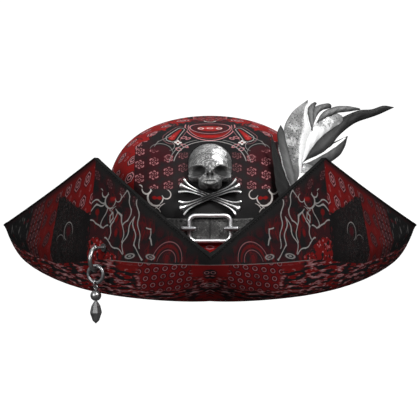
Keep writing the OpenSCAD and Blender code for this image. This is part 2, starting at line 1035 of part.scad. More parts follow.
washer_r = 2.8;
washer_t = 0.7;
washer_low = -inner_low - flange_gap - flange_t - 0.2 - washer_t;

// Washer between the flap's inner face and the shank's peened head
module hook_washer()
{
    color("gray")
    on_eyelet()
    translate([0, 0, washer_low])
    difference() {
        cylinder(r = washer_r, h = washer_t, $fn = fine);
        translate([0, 0, -fit]) cylinder(r = shank_r + fit / 2, h = washer_t + 2 * fit, $fn = fine);
    }
}

charm_wire = 1.5;
contact_gap = 0.06;
hook_low_z = -hook_r * cos(hook_start) - hook_r;
ring_top_z = hook_low_z + hook_wire + charm_wire + contact_gap;
ring_mid_z = ring_top_z - charm_ring_r;
ring_low_z = ring_top_z - 2 * charm_ring_r;

// Local frame of the hanging pieces, straight below the ring's place on the hook
module on_hang()
{
    on_knuckle() translate([-hook_lean, 0, 0]) children();
}

module charm_ring()
{
    color("silver")
    on_hang()
    translate([0, 0, ring_mid_z])
    rotate([0, 90, 0])
    rotate_extrude($fn = fine)
    translate([charm_ring_r, 0]) circle(r = charm_wire, $fn = fine);
}

link_r = 3;
link_wire = 0.7;
link_mid_z = ring_low_z + charm_wire + contact_gap + link_wire - link_r;
link_low_z = link_mid_z - link_r;

// Narrow link round the ring's lowest point, seen edge on from the front
module charm_link()
{
    color("silver")
    on_hang()
    translate([0, 0, link_mid_z])
    rotate([90, 0, 0])
    rotate_extrude($fn = fine)
    translate([link_r, 0]) circle(r = link_wire, $fn = fine);
}

eye_ring_r = 1.5;
eye_wire = 0.55;
eye_mid_z = link_low_z + link_wire + eye_wire + contact_gap - eye_ring_r;
eye_low_z = eye_mid_z - eye_ring_r;
bead_r = bead_d / 2;
bead_mid_z = eye_low_z - eye_wire - 0.1 - bead_r;
drop_top_z = bead_mid_z - bead_r - 0.3;
drop_mid_z = drop_top_z - drop_len / 2;
drop_r = 5;
pin_r = 0.6;
pin_low_z = drop_top_z - 3;

// Pin with an eye: it runs through the bead into the drop
module charm_pin()
{
    color("silver")
    on_hang()
    union() {
        translate([0, 0, eye_mid_z])
        rotate([0, 90, 0])
        rotate_extrude($fn = fine)
        translate([eye_ring_r, 0]) circle(r = eye_wire, $fn = fine);
        translate([0, 0, pin_low_z]) cylinder(r = pin_r, h = eye_low_z + 0.2 - pin_low_z, $fn = fine);
    }
}

module charm_bead()
{
    color("gray")
    on_hang()
    translate([0, 0, bead_mid_z])
    difference() {
        sphere(r = bead_r, $fn = fine);
        cylinder(r = pin_r + fit / 2, h = 3 * bead_r, center = true, $fn = fine);
    }
}

// Faceted drop: half of its outline, turned about the pin
module charm_drop()
{
    outline = [[0, -drop_len / 2], [0.55 * drop_r, -0.36 * drop_len], [drop_r, 0],
               [0.75 * drop_r, 0.3 * drop_len], [0.3 * drop_r, drop_len / 2], [0, drop_len / 2]];
    color("silver")
    on_hang()
    translate([0, 0, drop_mid_z])
    difference() {
        rotate_extrude($fn = 8) polygon(outline);
        translate([0, 0, pin_low_z - drop_mid_z - fit])
        cylinder(r = pin_r + fit / 2, h = drop_len, $fn = fine);
    }
}

crown_cover();
crown_stiffener();
crown_lining();
sweatband();
brim_board();
flap_board_right();
flap_board_back();
flap_board_left();
brim_outer_cover();
brim_inner_cover();
edge_binding();
hat_band_right();
hat_band_left();
hat_band_tab();
hat_band_rivets();
buckle_ring();
keeper_right();
keeper_left();
keeper_plates();
skull_badge();
bone_rising();
bone_falling();
badge_posts();
badge_nuts();
feather_quill();
feather_wrap();
feather_socket();
feather_main();
feather_side();
feather_dark_leaf();
feather_grey_leaf();
feather_curl_inner();
feather_curl_middle();
feather_curl_outer();
feather_tail();
feather_low_leaf();
feather_stem_leaf();
charm_eyelet();
charm_hook();
hook_washer();
charm_ring();
charm_link();
charm_pin();
charm_bead();
charm_drop();
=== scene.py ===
"""Looks of the pirate hat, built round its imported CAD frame.

Sizes are in millimetres in the frame's own axes: +X right as seen from the front, +Y back, +Z up.
mesh_piece() turns them into metres.
"""
import math

import bmesh
import bpy
import numpy as np
from mathutils import Matrix, Vector


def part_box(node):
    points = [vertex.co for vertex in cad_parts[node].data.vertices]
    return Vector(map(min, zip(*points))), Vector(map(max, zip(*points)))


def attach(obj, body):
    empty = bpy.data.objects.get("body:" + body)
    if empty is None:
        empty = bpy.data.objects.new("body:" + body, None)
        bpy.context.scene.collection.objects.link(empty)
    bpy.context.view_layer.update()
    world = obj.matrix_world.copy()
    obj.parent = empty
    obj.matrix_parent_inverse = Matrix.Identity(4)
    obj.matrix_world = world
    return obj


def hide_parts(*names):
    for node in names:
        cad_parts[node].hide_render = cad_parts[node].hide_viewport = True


MM = 0.001
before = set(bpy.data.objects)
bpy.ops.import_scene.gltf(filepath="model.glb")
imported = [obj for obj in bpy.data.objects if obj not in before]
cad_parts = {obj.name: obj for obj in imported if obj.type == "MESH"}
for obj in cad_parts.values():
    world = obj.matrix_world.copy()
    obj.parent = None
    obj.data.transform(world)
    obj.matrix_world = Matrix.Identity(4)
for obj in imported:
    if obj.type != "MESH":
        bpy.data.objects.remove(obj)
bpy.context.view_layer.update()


def cad_box(node):
    """The lowest and highest corner of a CAD node, in millimetres to the nearest tenth."""
    return [np.round(np.array(corner) / MM, 1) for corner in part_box(node)]


# ---- Values in a node graph ----


class Value:
    """A number in a node graph. Arithmetic on it adds Math nodes."""

    def __init__(self, tree, socket):
        self.tree = tree
        self.socket = socket

    def math(self, operation, *others, clamp=False):
        """What a Math node makes of this value and the others."""
        node = self.tree.nodes.new("ShaderNodeMath")
        node.operation = operation
        node.use_clamp = clamp
        for slot, item in zip(node.inputs, (self,) + others):
            if isinstance(item, Value):
                self.tree.links.new(item.socket, slot)
            else:
                slot.default_value = item
        return Value(self.tree, node.outputs[0])

    def __add__(self, other):
        return self.math("ADD", other)

    def __sub__(self, other):
        return self.math("SUBTRACT", other)

    def __mul__(self, other):
        return self.math("MULTIPLY", other)

    def __truediv__(self, other):
        return self.math("DIVIDE", other)

    def __rsub__(self, other):
        return self.math("MULTIPLY_ADD", -1.0, other)

    __radd__ = __add__
    __rmul__ = __mul__

    def __neg__(self):
        return self * -1.0

    def abs(self):
        return self.math("ABSOLUTE")

    def min(self, other):
        return self.math("MINIMUM", other)

    def max(self, other):
        return self.math("MAXIMUM", other)

    def wrap(self, period):
        """The offset from the nearest multiple of period."""
        return self.math("WRAP", period / 2, -period / 2)

    def step_of(self, period):
        """The number of the nearest multiple of period."""
        return self.math("MULTIPLY_ADD", 1 / period, 0.5).math("FLOOR")

    def inside(self, soft=0.35):
        """1 where a distance is negative, 0 where it is positive, over a soft edge."""
        return self.math("MULTIPLY_ADD", -1 / soft, 0.5, clamp=True)

    def over(self, level, soft):
        """0 below level, 1 above it, over a soft edge."""
        return self.math("MULTIPLY_ADD", 1 / soft, 0.5 - level / soft, clamp=True)


def length(x, y):
    """The distance from the origin."""
    return x.math("MULTIPLY_ADD", x, y * y).math("SQRT")


def turned(x, y, degrees):
    """Coordinates along and across a direction."""
    c, s = math.cos(math.radians(degrees)), math.sin(math.radians(degrees))
    return (x * c).math("ADD", y * s), (y * c).math("SUBTRACT", x * s)


def rgba(colour):
    """A colour with full alpha. A single number is a grey."""
    return (colour, colour, colour, 1) if isinstance(colour, float) else (*colour, 1)


class Shader:
    """A material under construction: a colour that is painted over step by step, then a Principled shader."""

    def __init__(self, name, colour):
        self.material = bpy.data.materials.new(name)
        self.material.use_nodes = True
        self.tree = self.material.node_tree
        self.tree.nodes.clear()
        base = self.tree.nodes.new("ShaderNodeRGB")
        base.outputs[0].default_value = rgba(colour)
        self.colour = base.outputs[0]

    def node(self, kind, inputs=(), **settings):
        """A new node. inputs maps its inputs to values, sockets or constants."""
        node = self.tree.nodes.new(kind)
        for key, setting in settings.items():
            setattr(node, key, setting)
        for key, item in dict(inputs).items():
            if isinstance(item, Value):
                item = item.socket
            if isinstance(item, bpy.types.NodeSocket):
                self.tree.links.new(item, node.inputs[key])
            else:
                node.inputs[key].default_value = item
        return node

    def uv(self, layer):
        """Both coordinates of a UV layer."""
        where = self.node("ShaderNodeUVMap", uv_map=layer)
        parts = self.node("ShaderNodeSeparateXYZ", {"Vector": where.outputs["UV"]})
        return Value(self.tree, parts.outputs[0]), Value(self.tree, parts.outputs[1])

    def place(self):
        """Object coordinates in millimetres."""
        where = self.node("ShaderNodeTexCoord").outputs["Object"]
        return self.node("ShaderNodeVectorMath", {0: where, "Scale": 1 / MM}, operation="SCALE").outputs[0]

    def vector(self, x, y, z=0.0):
        """Three numbers as one vector."""
        return self.node("ShaderNodeCombineXYZ", {0: x, 1: y, 2: z}).outputs[0]

    def noise(self, vector, scale, detail=2.0, rough=0.5, distortion=0.0):
        """Cloudy noise between 0 and 1."""
        inputs = {"Vector": vector, "Scale": scale, "Detail": detail, "Roughness": rough,
                  "Distortion": distortion}
        return Value(self.tree, self.node("ShaderNodeTexNoise", inputs).outputs["Fac"])

    def cells(self, vector, scale):
        """The distance to the nearest of many scattered points."""
        node = self.node("ShaderNodeTexVoronoi", {"Vector": vector, "Scale": scale})
        return Value(self.tree, node.outputs["Distance"])

    def wave(self, vector, scale, distortion, direction="DIAGONAL"):
        """Parallel bands across a direction, bent by distortion."""
        inputs = {"Vector": vector, "Scale": scale, "Distortion": distortion}
        node = self.node("ShaderNodeTexWave", inputs, wave_type="BANDS", bands_direction=direction)
        return Value(self.tree, node.outputs["Fac"])

    def attribute(self, name):
        """A number stored at the points of the mesh."""
        return Value(self.tree, self.node("ShaderNodeAttribute", attribute_name=name).outputs["Fac"])

    def paint(self, colour, mask):
        """Lays a colour over what is there, where mask is 1."""
        mix = self.node("ShaderNodeMix", {0: mask, 6: self.colour, 7: rgba(colour)}, data_type="RGBA",
                        clamp_factor=True)
        self.colour = mix.outputs[2]

    def shade(self, factor):
        """Multiplies the colour by a value."""
        mix = self.node("ShaderNodeVectorMath", {0: self.colour, "Scale": factor}, operation="SCALE")
        self.colour = mix.outputs[0]

    def finish(self, roughness, bump=None, depth=0.2, **constants):
        """Ends in a Principled shader. depth is the bump's height in millimetres."""
        inputs = {"Base Color": self.colour, "Roughness": roughness}
        if bump is not None:
            lumps = self.node("ShaderNodeBump", {"Height": bump, "Strength": 1.0, "Distance": depth * MM})
            inputs["Normal"] = lumps.outputs[0]
        shader = self.node("ShaderNodeBsdfPrincipled", inputs)
        for key, setting in constants.items():
            shader.inputs[key.replace("_", " ")].default_value = setting
        self.node("ShaderNodeOutputMaterial", {"Surface": shader.outputs[0]})
        return self.material


# ---- Meshes ----


def mesh_piece(name, points, faces, body, materials, replaces=(), uvs=None, face_material=None,
               sharp=40, attributes=None):
    """A smooth mesh from points in millimetres, riding on body. uvs holds one (n, 2) array per layer."""
    mesh = bpy.data.meshes.new(name)
    mesh.from_pydata((np.asarray(points, float) * MM).tolist(), [], faces)
    mesh.update()
    if uvs:
        corner = np.zeros(len(mesh.loops), np.int32)
        mesh.loops.foreach_get("vertex_index", corner)
        for layer, values in uvs.items():
            at_corners = np.asarray(values, np.float32)[corner]
            mesh.uv_layers.new(name=layer).data.foreach_set("uv", at_corners.ravel())
    for key, values in (attributes or {}).items():
        mesh.attributes.new(key, "FLOAT", "POINT").data.foreach_set("value", np.asarray(values, np.float32))
    for material in materials:
        mesh.materials.append(material)
    if face_material is not None:
        mesh.polygons.foreach_set("material_index", np.asarray(face_material, np.int32))
    mesh.polygons.foreach_set("use_smooth", [True] * len(mesh.polygons))
    mesh.set_sharp_from_angle(angle=math.radians(sharp))
    piece = bpy.data.objects.new(name, mesh)
    bpy.context.scene.collection.objects.link(piece)
    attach(piece, body)
    if replaces:
        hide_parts(*replaces)
    return piece


def grid_faces(rows, columns, closed=False, start=0, flip=False):
    """Quads over a grid of rows times columns points, closed round its columns or open."""
    faces = []
    for i in range(rows - 1):
        for j in range(columns if closed else columns - 1):
            k = (j + 1) % columns
            quad = (start + i * columns + j, start + i * columns + k,
                    start + (i + 1) * columns + k, start + (i + 1) * columns + j)
            faces.append(quad[::-1] if flip else quad)
    return faces


def end_caps(rows, sides):
    """The faces that close both ends of a tube of rows of points."""
    return [tuple(range(sides))[::-1], tuple(range((rows - 1) * sides, rows * sides))]


def grid_normals(grid):
    """Unit normals of a (rows, columns, 3) grid that closes round its columns."""
    along = np.gradient(grid, axis=0)
    around = (np.roll(grid, -1, axis=1) - np.roll(grid, 1, axis=1)) / 2
    normal = np.cross(around, along)
    return normal / np.maximum(np.linalg.norm(normal, axis=2, keepdims=True), 1e-9)


def tube(path, radius, sides):
    """Points and faces of a round tube along a path. radius holds one number per point."""
    tangent = np.gradient(path, axis=0)
    tangent /= np.linalg.norm(tangent, axis=1, keepdims=True)
    side = np.cross(tangent[0], (0.31, 0.17, 0.94))
    rings = []
    for centre, t, r in zip(path, tangent, radius):
        side = side - t * side.dot(t)
        side /= np.linalg.norm(side)
        other = np.cross(t, side)
        turn = np.linspace(0, 2 * math.pi, sides, endpoint=False)[:, None]
        rings.append(centre + r * (np.cos(turn) * side + np.sin(turn) * other))
    faces = grid_faces(len(path), sides, closed=True) + end_caps(len(path), sides)
    return np.concatenate(rings), faces


def gathered(parts):
    """Several (points, faces) as one."""
    points, faces, start = [], [], 0
    for some_points, some_faces in parts:
        points.append(some_points)
        faces += [tuple(i + start for i in face) for face in some_faces]
        start += len(some_points)
    return np.concatenate(points), faces


def curve_through(points, count):
    """count points on a Catmull-Rom curve through the given ones, evenly spaced by their chords."""
    given = np.asarray(points, float)
    knots = np.concatenate([[0], np.cumsum(np.linalg.norm(np.diff(given, axis=0), axis=1))])
    padded = np.vstack([2 * given[0] - given[1], given, 2 * given[-1] - given[-2]])
    out = []
    for at in np.linspace(0, knots[-1], count):
        i = min(int(np.searchsorted(knots, at, side="right")) - 1, len(given) - 2)
        t = (at - knots[i]) / (knots[i + 1] - knots[i])
        a, b, c, d = padded[i:i + 4]
        out.append(0.5 * (2 * b + (c - a) * t + (2 * a - 5 * b + 4 * c - d) * t ** 2
                          + (3 * b - a - 3 * c + d) * t ** 3))
    return np.array(out)


# ---- Surfaces of the hat ----

CROWN_X, CROWN_Y, CROWN_Z = cad_box("crown_cover")[1]
CROWN_BASE = cad_box("crown_cover")[0][2]
CROWN_POWER = 5.4
COVER_THICK = 0.9


def crown_scale(z):
    """How wide the crown is at a height, as a share of its base."""
    return np.sqrt(np.maximum(0, 1 - (np.maximum(z, 0) / CROWN_Z) ** CROWN_POWER))


def crown_surface(angle, z, depth=0.0):
    """Points on the crown, at angles in radians, depth inside its outer face."""
    s = crown_scale(z)
    face = np.stack([CROWN_X * s * np.cos(angle), CROWN_Y * s * np.sin(angle), z], axis=-1)
    slope = CROWN_POWER / 2 * (z / CROWN_Z) ** CROWN_POWER / np.maximum(z, 1e-6)
    normal = np.stack([face[..., 0] / CROWN_X ** 2, face[..., 1] / CROWN_Y ** 2, slope], axis=-1)
    normal /= np.linalg.norm(normal, axis=-1, keepdims=True)
    return face - depth * normal


def crown_rows(count):
    """Heights from the base to just under the top, closer together near the top."""
    k = np.linspace(0, 1, count + 1)[:-1]
    return CROWN_BASE + (CROWN_Z - CROWN_BASE) * (1 - (1 - k) ** 2.2)


def build_crown(materials):
    """The crown's printed cover. Its print measures along X or Y, and along the cloth up from the base."""
    columns, rows = 240, 56
    angle = np.linspace(0, 2 * math.pi, columns, endpoint=False)
    heights = crown_rows(rows)
    grid_angle, grid_z = np.meshgrid(angle, heights)
    outer = crown_surface(grid_angle, grid_z)
    inner = crown_surface(grid_angle, grid_z, COVER_THICK)
    reach = np.hypot(CROWN_X * np.cos(angle), CROWN_Y * np.sin(angle))
    fine_z = np.linspace(0, CROWN_Z, 3000)
    fine_s = crown_scale(fine_z)
    rise = np.empty((rows, columns))
    for j, r in enumerate(reach):
        run = np.concatenate([[0], np.cumsum(np.hypot(np.diff(fine_z), r * np.diff(fine_s)))])
        rise[:, j] = np.interp(heights, fine_z, run)
    apex_rise = 2 * rise[-1].mean() - rise[-2].mean() + 8
    tops = [[0, 0, CROWN_Z]], [[0, 0, CROWN_Z - COVER_THICK]]
    points = np.vstack([outer.reshape(-1, 3), tops[0], inner.reshape(-1, 3), tops[1]])
    size = rows * columns
    apex, inner_start, inner_apex = size, size + 1, 2 * size + 1
    faces = grid_faces(rows, columns, closed=True)
    faces += grid_faces(rows, columns, closed=True, start=inner_start, flip=True)
    top, inner_top = (rows - 1) * columns, inner_start + (rows - 1) * columns
    for j in range(columns):
        k = (j + 1) % columns
        faces.append((top + j, top + k, apex))
        faces.append((inner_top + k, inner_top + j, inner_apex))
        faces.append((k, j, inner_start + j, inner_start + k))
    rise = np.append(rise.ravel(), apex_rise)
    front = np.column_stack([points[: size + 1, 0], rise])
    side = np.column_stack([points[: size + 1, 1], rise])
    return mesh_piece(
        "crown_print_cover", points, faces, "hat", materials, ["crown_cover"],
        uvs={"front": np.vstack([front, front]), "side": np.vstack([side, side])}, sharp=60)


# The brim turns up at a fold into three flaps that meet at the beak in front and at two rear corners.
# The rim is the flaps' free edge. Folds and rims are those of the CAD cover.
(_, BRIM_FRONT, _), (BRIM_SIDE, _, BRIM_TOP) = cad_box("brim_outer_cover")
BEAK_FOLD = np.array([0.0, -181.0])
CORNER_FOLD = np.array([180.8, 98.6])
FOLD_Z, FOLD_DIP = 36.0, 6.0
SIDE_BULGE, BACK_BULGE = 24.0, 36.0
BEAK_RIM = np.array([0.0, BRIM_FRONT, 42.0])
SIDE_PEAK, SIDE_PEAK_AT = np.array([93.7, -60.0, BRIM_TOP]), 0.45
CORNER_RIM = np.array([BRIM_SIDE, 100.0, 40.0])
BACK_PEAK = np.array([0.0, 126.0, 104.0])
RIM_SAG = 1.2
FLAT_X, FLAT_Y = 96.5, 108.0
OPENING_X, OPENING_Y = 84.0, 101.0
COLUMNS_PER_FLAP = 60
FLAT_ROWS, BOWL_ROWS, FLAP_ROWS = 3, 22, 14
BOWL_POWER, BEAK_POWER = 7, 2.4  # how late the bowl curves up, round the hat and by the beak
BEAK_REACH = 0.35  # the share of a side flap over which one changes to the other


def fold_point(flap, v):
    """A point on the fold. flap is 0 right, 1 back, 2 left; v runs round the hat from the beak."""
    bulge = 4 * v * (1 - v)
    mirror = np.array([-1.0, 1.0])
    if flap == 1:
        flat = CORNER_FOLD + (CORNER_FOLD * mirror - CORNER_FOLD) * v + np.array([0, BACK_BULGE * bulge])
    else:
        along = v if flap == 0 else 1 - v
        out = np.array([CORNER_FOLD[1] - BEAK_FOLD[1], BEAK_FOLD[0] - CORNER_FOLD[0]])
        out /= np.linalg.norm(out)
        flat = BEAK_FOLD + (CORNER_FOLD - BEAK_FOLD) * along + out * SIDE_BULGE * bulge
        if flap == 2:
            flat = flat * mirror
    return np.array([flat[0], flat[1], FOLD_Z - FOLD_DIP * bulge])


def rim_point(flap, v):
    """A point on the rim, which sags a little between its peaks and corners."""
    if flap == 1:
        ends, at = (CORNER_RIM, BACK_PEAK, CORNER_RIM * (-1, 1, 1)), 0.5
    else:
        ends, at = (BEAK_RIM, SIDE_PEAK, CORNER_RIM), SIDE_PEAK_AT
    along = 1 - v if flap == 2 else v
    if along <= at:
        t, a, b = along / at, ends[0], ends[1]
    else:
        t, a, b = (along - at) / (1 - at), ends[1], ends[2]
    point = a + (b - a) * t - np.array([0, 0, RIM_SAG * 4 * t * (1 - t)])
    return point * (-1, 1, 1) if flap == 2 else point


def brim_grid():
    """The brim's outer face as rows from the head opening out to the rim, and its print coordinates."""
    columns = 3 * COLUMNS_PER_FLAP
    grid = np.zeros((FLAT_ROWS + BOWL_ROWS + FLAP_ROWS, columns, 3))
    for j in range(columns):
        flap, v = divmod(j, COLUMNS_PER_FLAP)
        v /= COLUMNS_PER_FLAP
        fold, rim = fold_point(flap, v), rim_point(flap, v)
        turn = math.atan2(fold[1] / FLAT_Y, fold[0] / FLAT_X)
        opening = np.array([OPENING_X * math.cos(turn), OPENING_Y * math.sin(turn)])
        flat = np.array([FLAT_X * math.cos(turn), FLAT_Y * math.sin(turn)])
        along = {0: v, 1: 0.5, 2: 1 - v}[flap]
        beak_near = 0 if flap == 1 else max(0, 1 - along / BEAK_REACH)
        power = BOWL_POWER + (BEAK_POWER - BOWL_POWER) * beak_near
        for i in range(FLAT_ROWS):
            grid[i, j] = (*(opening + (flat - opening) * i / FLAT_ROWS), 0)
        for i in range(BOWL_ROWS):
            w = 1 - (1 - i / (BOWL_ROWS - 1)) ** 1.35
            grid[FLAT_ROWS + i, j] = (*(flat + (fold[:2] - flat) * w), fold[2] * w ** power)
        for i in range(FLAP_ROWS):
            grid[FLAT_ROWS + BOWL_ROWS + i, j] = fold + (rim - fold) * (i + 1) / FLAP_ROWS
    fold_row = FLAT_ROWS + BOWL_ROWS - 1
    steps = np.linalg.norm(np.diff(grid, axis=0), axis=2)
    path = np.vstack([np.zeros(columns), np.cumsum(steps, axis=0)])
    across = path - path[fold_row]
    chord = np.linalg.norm(np.roll(grid[fold_row], -1, axis=0) - grid[fold_row], axis=1)
    along = np.concatenate([[0], np.cumsum(chord)])[:-1]
    third = along[COLUMNS_PER_FLAP]
    back = along[2 * COLUMNS_PER_FLAP] - third
    total = chord.sum()
    distance = np.where(along <= third, along, np.where(along >= third + back, total - along, 0))
    middle = (along > third) & (along < third + back)
    from_corner = np.minimum(along - third, third + back - along)
    distance = np.where(middle, third - from_corner, distance)
    coordinates = np.stack([np.broadcast_to(distance, across.shape), across], axis=-1)
    return grid, coordinates


def brim_shell(name, grid, coordinates, near, far, materials, node):
    """One skin of the brim, between two depths behind its outer face."""
    rows, columns = grid.shape[:2]
    normal = grid_normals(grid)
    front = grid - normal * near
    back = grid - normal * far
    points = np.vstack([front.reshape(-1, 3), back.reshape(-1, 3)])
    size = rows * columns
    faces = grid_faces(rows, columns, closed=True)
    faces += grid_faces(rows, columns, closed=True, start=size, flip=True)
    for j in range(columns):
        k = (j + 1) % columns
        faces.append((k, j, size + j, size + k))
        last = (rows - 1) * columns
        faces.append((last + j, last + k, size + last + k, size + last + j))
    uv = coordinates.reshape(-1, 2)
    return mesh_piece(name, points, faces, "hat", materials, [node],
                      uvs={"print": np.vstack([uv, uv])}, sharp=35)


def rim_frames():
    """The rim's points, the direction up out of the flap and the outward direction at each."""
    points, up = [], []
    for flap in range(3):
        for i in range(COLUMNS_PER_FLAP):
            v = i / COLUMNS_PER_FLAP
            points.append(rim_point(flap, v))
            up.append(rim_point(flap, v) - fold_point(flap, v))
    points, up = np.array(points), np.array(up)
    up /= np.linalg.norm(up, axis=1, keepdims=True)
    around = np.roll(points, -1, axis=0) - np.roll(points, 1, axis=0)
    around /= np.linalg.norm(around, axis=1, keepdims=True)
    up -= around * np.sum(up * around, axis=1, keepdims=True)
    up /= np.linalg.norm(up, axis=1, keepdims=True)
    out = np.cross(around, up)
    return points, up, out


INNER_DEPTH, LAYERS = 3.1, 3.9  # from the brim's outer face to the inner cover's two faces
BINDING_PROUD = 0.55  # how far the binding stands off either face
# The binding's section, as distances out of the flap and up past its edge
BINDING = [(0.15, -1.1), (0.4, -1.2), (0.55, -1.0), (0.55, -0.4), (0.5, 0.1), (0.3, 0.4), (-0.5, 0.5),
           (-1.95, 0.55), (-3.4, 0.5), (-4.2, 0.4), (-4.4, 0.1), (-4.45, -0.4), (-4.45, -1.0), (-4.3, -1.2),
           (-4.05, -1.1), (-4.0, -0.2), (-3.6, 0.15), (-1.95, 0.2), (-0.3, 0.15), (0.1, -0.2)]


def build_binding(materials):
    """Folded tape over the rim, a little wavy in its thickness."""
    points, up, out = rim_frames()
    rng = np.random.default_rng(7)
    waver = np.convolve(rng.normal(0, 0.12, len(points) + 4), np.ones(5) / 5, "valid")[:, None]
    rings = [points + out * (n + waver * np.sign(n + LAYERS / 2)) + up * t for n, t in BINDING]
    rings = np.stack(rings, axis=1)
    count, sides = rings.shape[:2]
    faces = grid_faces(count, sides, closed=True)
    last = (count - 1) * sides
    faces += [(last + j, last + (j + 1) % sides, (j + 1) % sides, j) for j in range(sides)]
    return mesh_piece("binding_tape", rings.reshape(-1, 3), faces, "hat", materials,
                      ["edge_binding"], sharp=55)


def stitches(name, path, outward, materials, spacing, long, thick):
    """A row of short threads along a path, standing proud of the cloth."""
    steps = np.linalg.norm(np.diff(path, axis=0), axis=1)
    knots = np.concatenate([[0], np.cumsum(steps)])
    parts = []
    for start in np.arange(0.4, knots[-1] - long, spacing):
        at = np.linspace(start, start + long, 5)
        line = np.stack([np.interp(at, knots, path[:, k]) for k in range(3)], axis=1)
        normal = np.stack([np.interp(at, knots, outward[:, k]) for k in range(3)], axis=1)
        bow = np.sin(np.linspace(0, math.pi, 5))[:, None]
        parts.append(tube(line + normal * (0.28 * bow - 0.07), thick * (0.55 + 0.45 * bow[:, 0]), 6))
    points, faces = gathered(parts)
    return mesh_piece(name, points, faces, "hat", materials, sharp=60)


BAND_LOW = cad_box("hat_band_right")[0][2]
BAND_WIDE = 19.0
BAND_HIGH = BAND_LOW + BAND_WIDE
BAND_FACE = -1.62  # the band's outer face, as a depth inside the crown's


def build_band(name, start, end, materials, node):
    """Half of the hat band, rounded at its edges, between two angles in degrees."""
    columns = 90
    half = BAND_WIDE / 2
    angle = np.radians(np.linspace(start, end, columns))
    rounding = [(0.15, -0.5), (0, -0.9), (0.3, -1.3), (1.2, BAND_FACE)]
    section = [(BAND_LOW + inset, depth) for inset, depth in rounding]
    for z in np.linspace(BAND_LOW + 2.5, BAND_HIGH - 2.5, 9):
        section.append((z, BAND_FACE + 0.12 * math.cos(math.pi * (z - BAND_LOW - half) / half)))
    section += [(BAND_HIGH - inset, depth) for inset, depth in rounding[::-1]]
    section += [(BAND_HIGH - 1, -0.3), (BAND_LOW + 1, -0.3)]
    rings = np.stack([crown_surface(angle, np.full(columns, z), d) for z, d in section], axis=1)
    sides = len(section)
    faces = grid_faces(columns, sides, closed=True, flip=True)
    faces += [cap[::-1] for cap in end_caps(columns, sides)]
    return mesh_piece(name, rings.reshape(-1, 3), faces, "hat", materials, [node], sharp=50)


# ---- Skull and bones: skins drawn over rounded shapes that melt into each other ----


def soft_union(a, b, blend):
    """Two distances joined over a rounded hollow."""
    h = np.clip(0.5 + 0.5 * (b - a) / blend, 0, 1)
    return b + (a - b) * h - blend * h * (1 - h)


def soft_cut(a, b, blend):
    """a with b taken out of it."""
    return -soft_union(-a, b, blend)


def ellipsoid(p, centre, radii):
    """About the distance outside an ellipsoid."""
    q = (p - np.array(centre)) / np.array(radii)
    k = np.linalg.norm(q, axis=-1)
    return (k - 1) * min(radii)


def ball_directions(subdivisions):
    """Unit vectors and faces of a finely divided icosphere."""
    work = bmesh.new()
    bmesh.ops.create_icosphere(work, subdivisions=subdivisions, radius=1.0)
    vectors = np.array([v.co[:] for v in work.verts])
    faces = [tuple(v.index for v in f.verts) for f in work.faces]
    work.free()
    return vectors / np.linalg.norm(vectors, axis=1, keepdims=True), faces


def skin(field, origins, directions, reach):
    """The first point along each ray where field turns positive."""
    low = np.zeros(len(directions))
    high = np.full(len(directions), reach)
    found = np.zeros(len(directions), bool)
    steps = 70
    for i in range(1, steps + 1):
        at = reach * i / steps
        outside = field(origins + directions * at) > 0
        new = outside & ~found
        high[new] = at
        low[new] = reach * (i - 1) / steps
        found |= outside
    for _ in range(18):
        middle = (low + high) / 2
        outside = field(origins + directions * middle[:, None]) > 0
        high = np.where(outside, middle, high)
        low = np.where(outside, low, middle)
    return origins + directions * low[:, None]


def both_sides(p):
    """The points with those on the left turned over to the right."""
    return np.column_stack([np.abs(p[:, 0]), p[:, 1:]])


def skull_head(p):
    """The skull's shape without its hollows. X right, Y up, Z outward."""
    half = both_sides(p)
    shape = ellipsoid(p, (0, 3.2, 0.5), (17.2, 15.8, 13.0))
    extras = [
        (ellipsoid(p, (0, -5.0, 2.6), (17.0, 9.6, 9.6)), 3.0),
        (ellipsoid(half, (12.2, -10.2, 4.6), (5.2, 4.4, 6.0)), 2.2),
        (ellipsoid(p, (0, -15.6, 4.2), (8.8, 5.2, 6.2)), 1.4),
        (ellipsoid(half, (5.0, -17.6, 4.4), (3.9, 3.0, 5.2)), 1.8),
        (ellipsoid(half, (7.6, -4.4, 10.8), (6.8, 2.0, 2.8)), 2.2),
        (ellipsoid(p, (0, -8.0, 12.0), (1.7, 3.6, 2.0)), 1.6),
        (ellipsoid(p, (0, -15.4, 6.4), (6.8, 3.8, 3.4)), 2.4),
    ]
    for extra, blend in extras:
        shape = soft_union(shape, extra, blend)
    return shape


def turn_about(p, centre, degrees):
    """The points seen from centre, turned in the skull's own plane."""
    c, s = math.cos(math.radians(degrees)), math.sin(math.radians(degrees))
    q = p - np.array(centre)
    return np.stack([q[:, 0] * c - q[:, 1] * s, q[:, 0] * s + q[:, 1] * c, q[:, 2]], axis=1)


def skull_shape(p):
    """The skull with its eye, cheek and nose hollows and its mouth."""
    half = both_sides(p)
    hollows = [
        (ellipsoid(turn_about(half, (8.3, -8.0, 13.0), -8), (0, 0, 0), (4.9, 3.4, 7.0)), 1.0),
        (ellipsoid(half, (13.6, -18.0, 5.0), (3.4, 3.4, 4.6)), 1.4),
        (ellipsoid(turn_about(half, (1.7, -11.6, 12.6), 16), (0, 0, 0), (1.25, 2.5, 4.2)), 0.5),
        (ellipsoid(p, (0, -16.2, 10.2), (5.6, 0.3, 1.2)), 0.3),
    ]
    shape = skull_head(p)
    for hollow, blend in hollows:
        shape = soft_cut(shape, hollow, blend)
    return shape


TOOTH_ROWS = ((-15.1, 5.4), (-17.3, 4.7))  # height of each row of teeth and half its width
TOOTH_STEP = 1.55


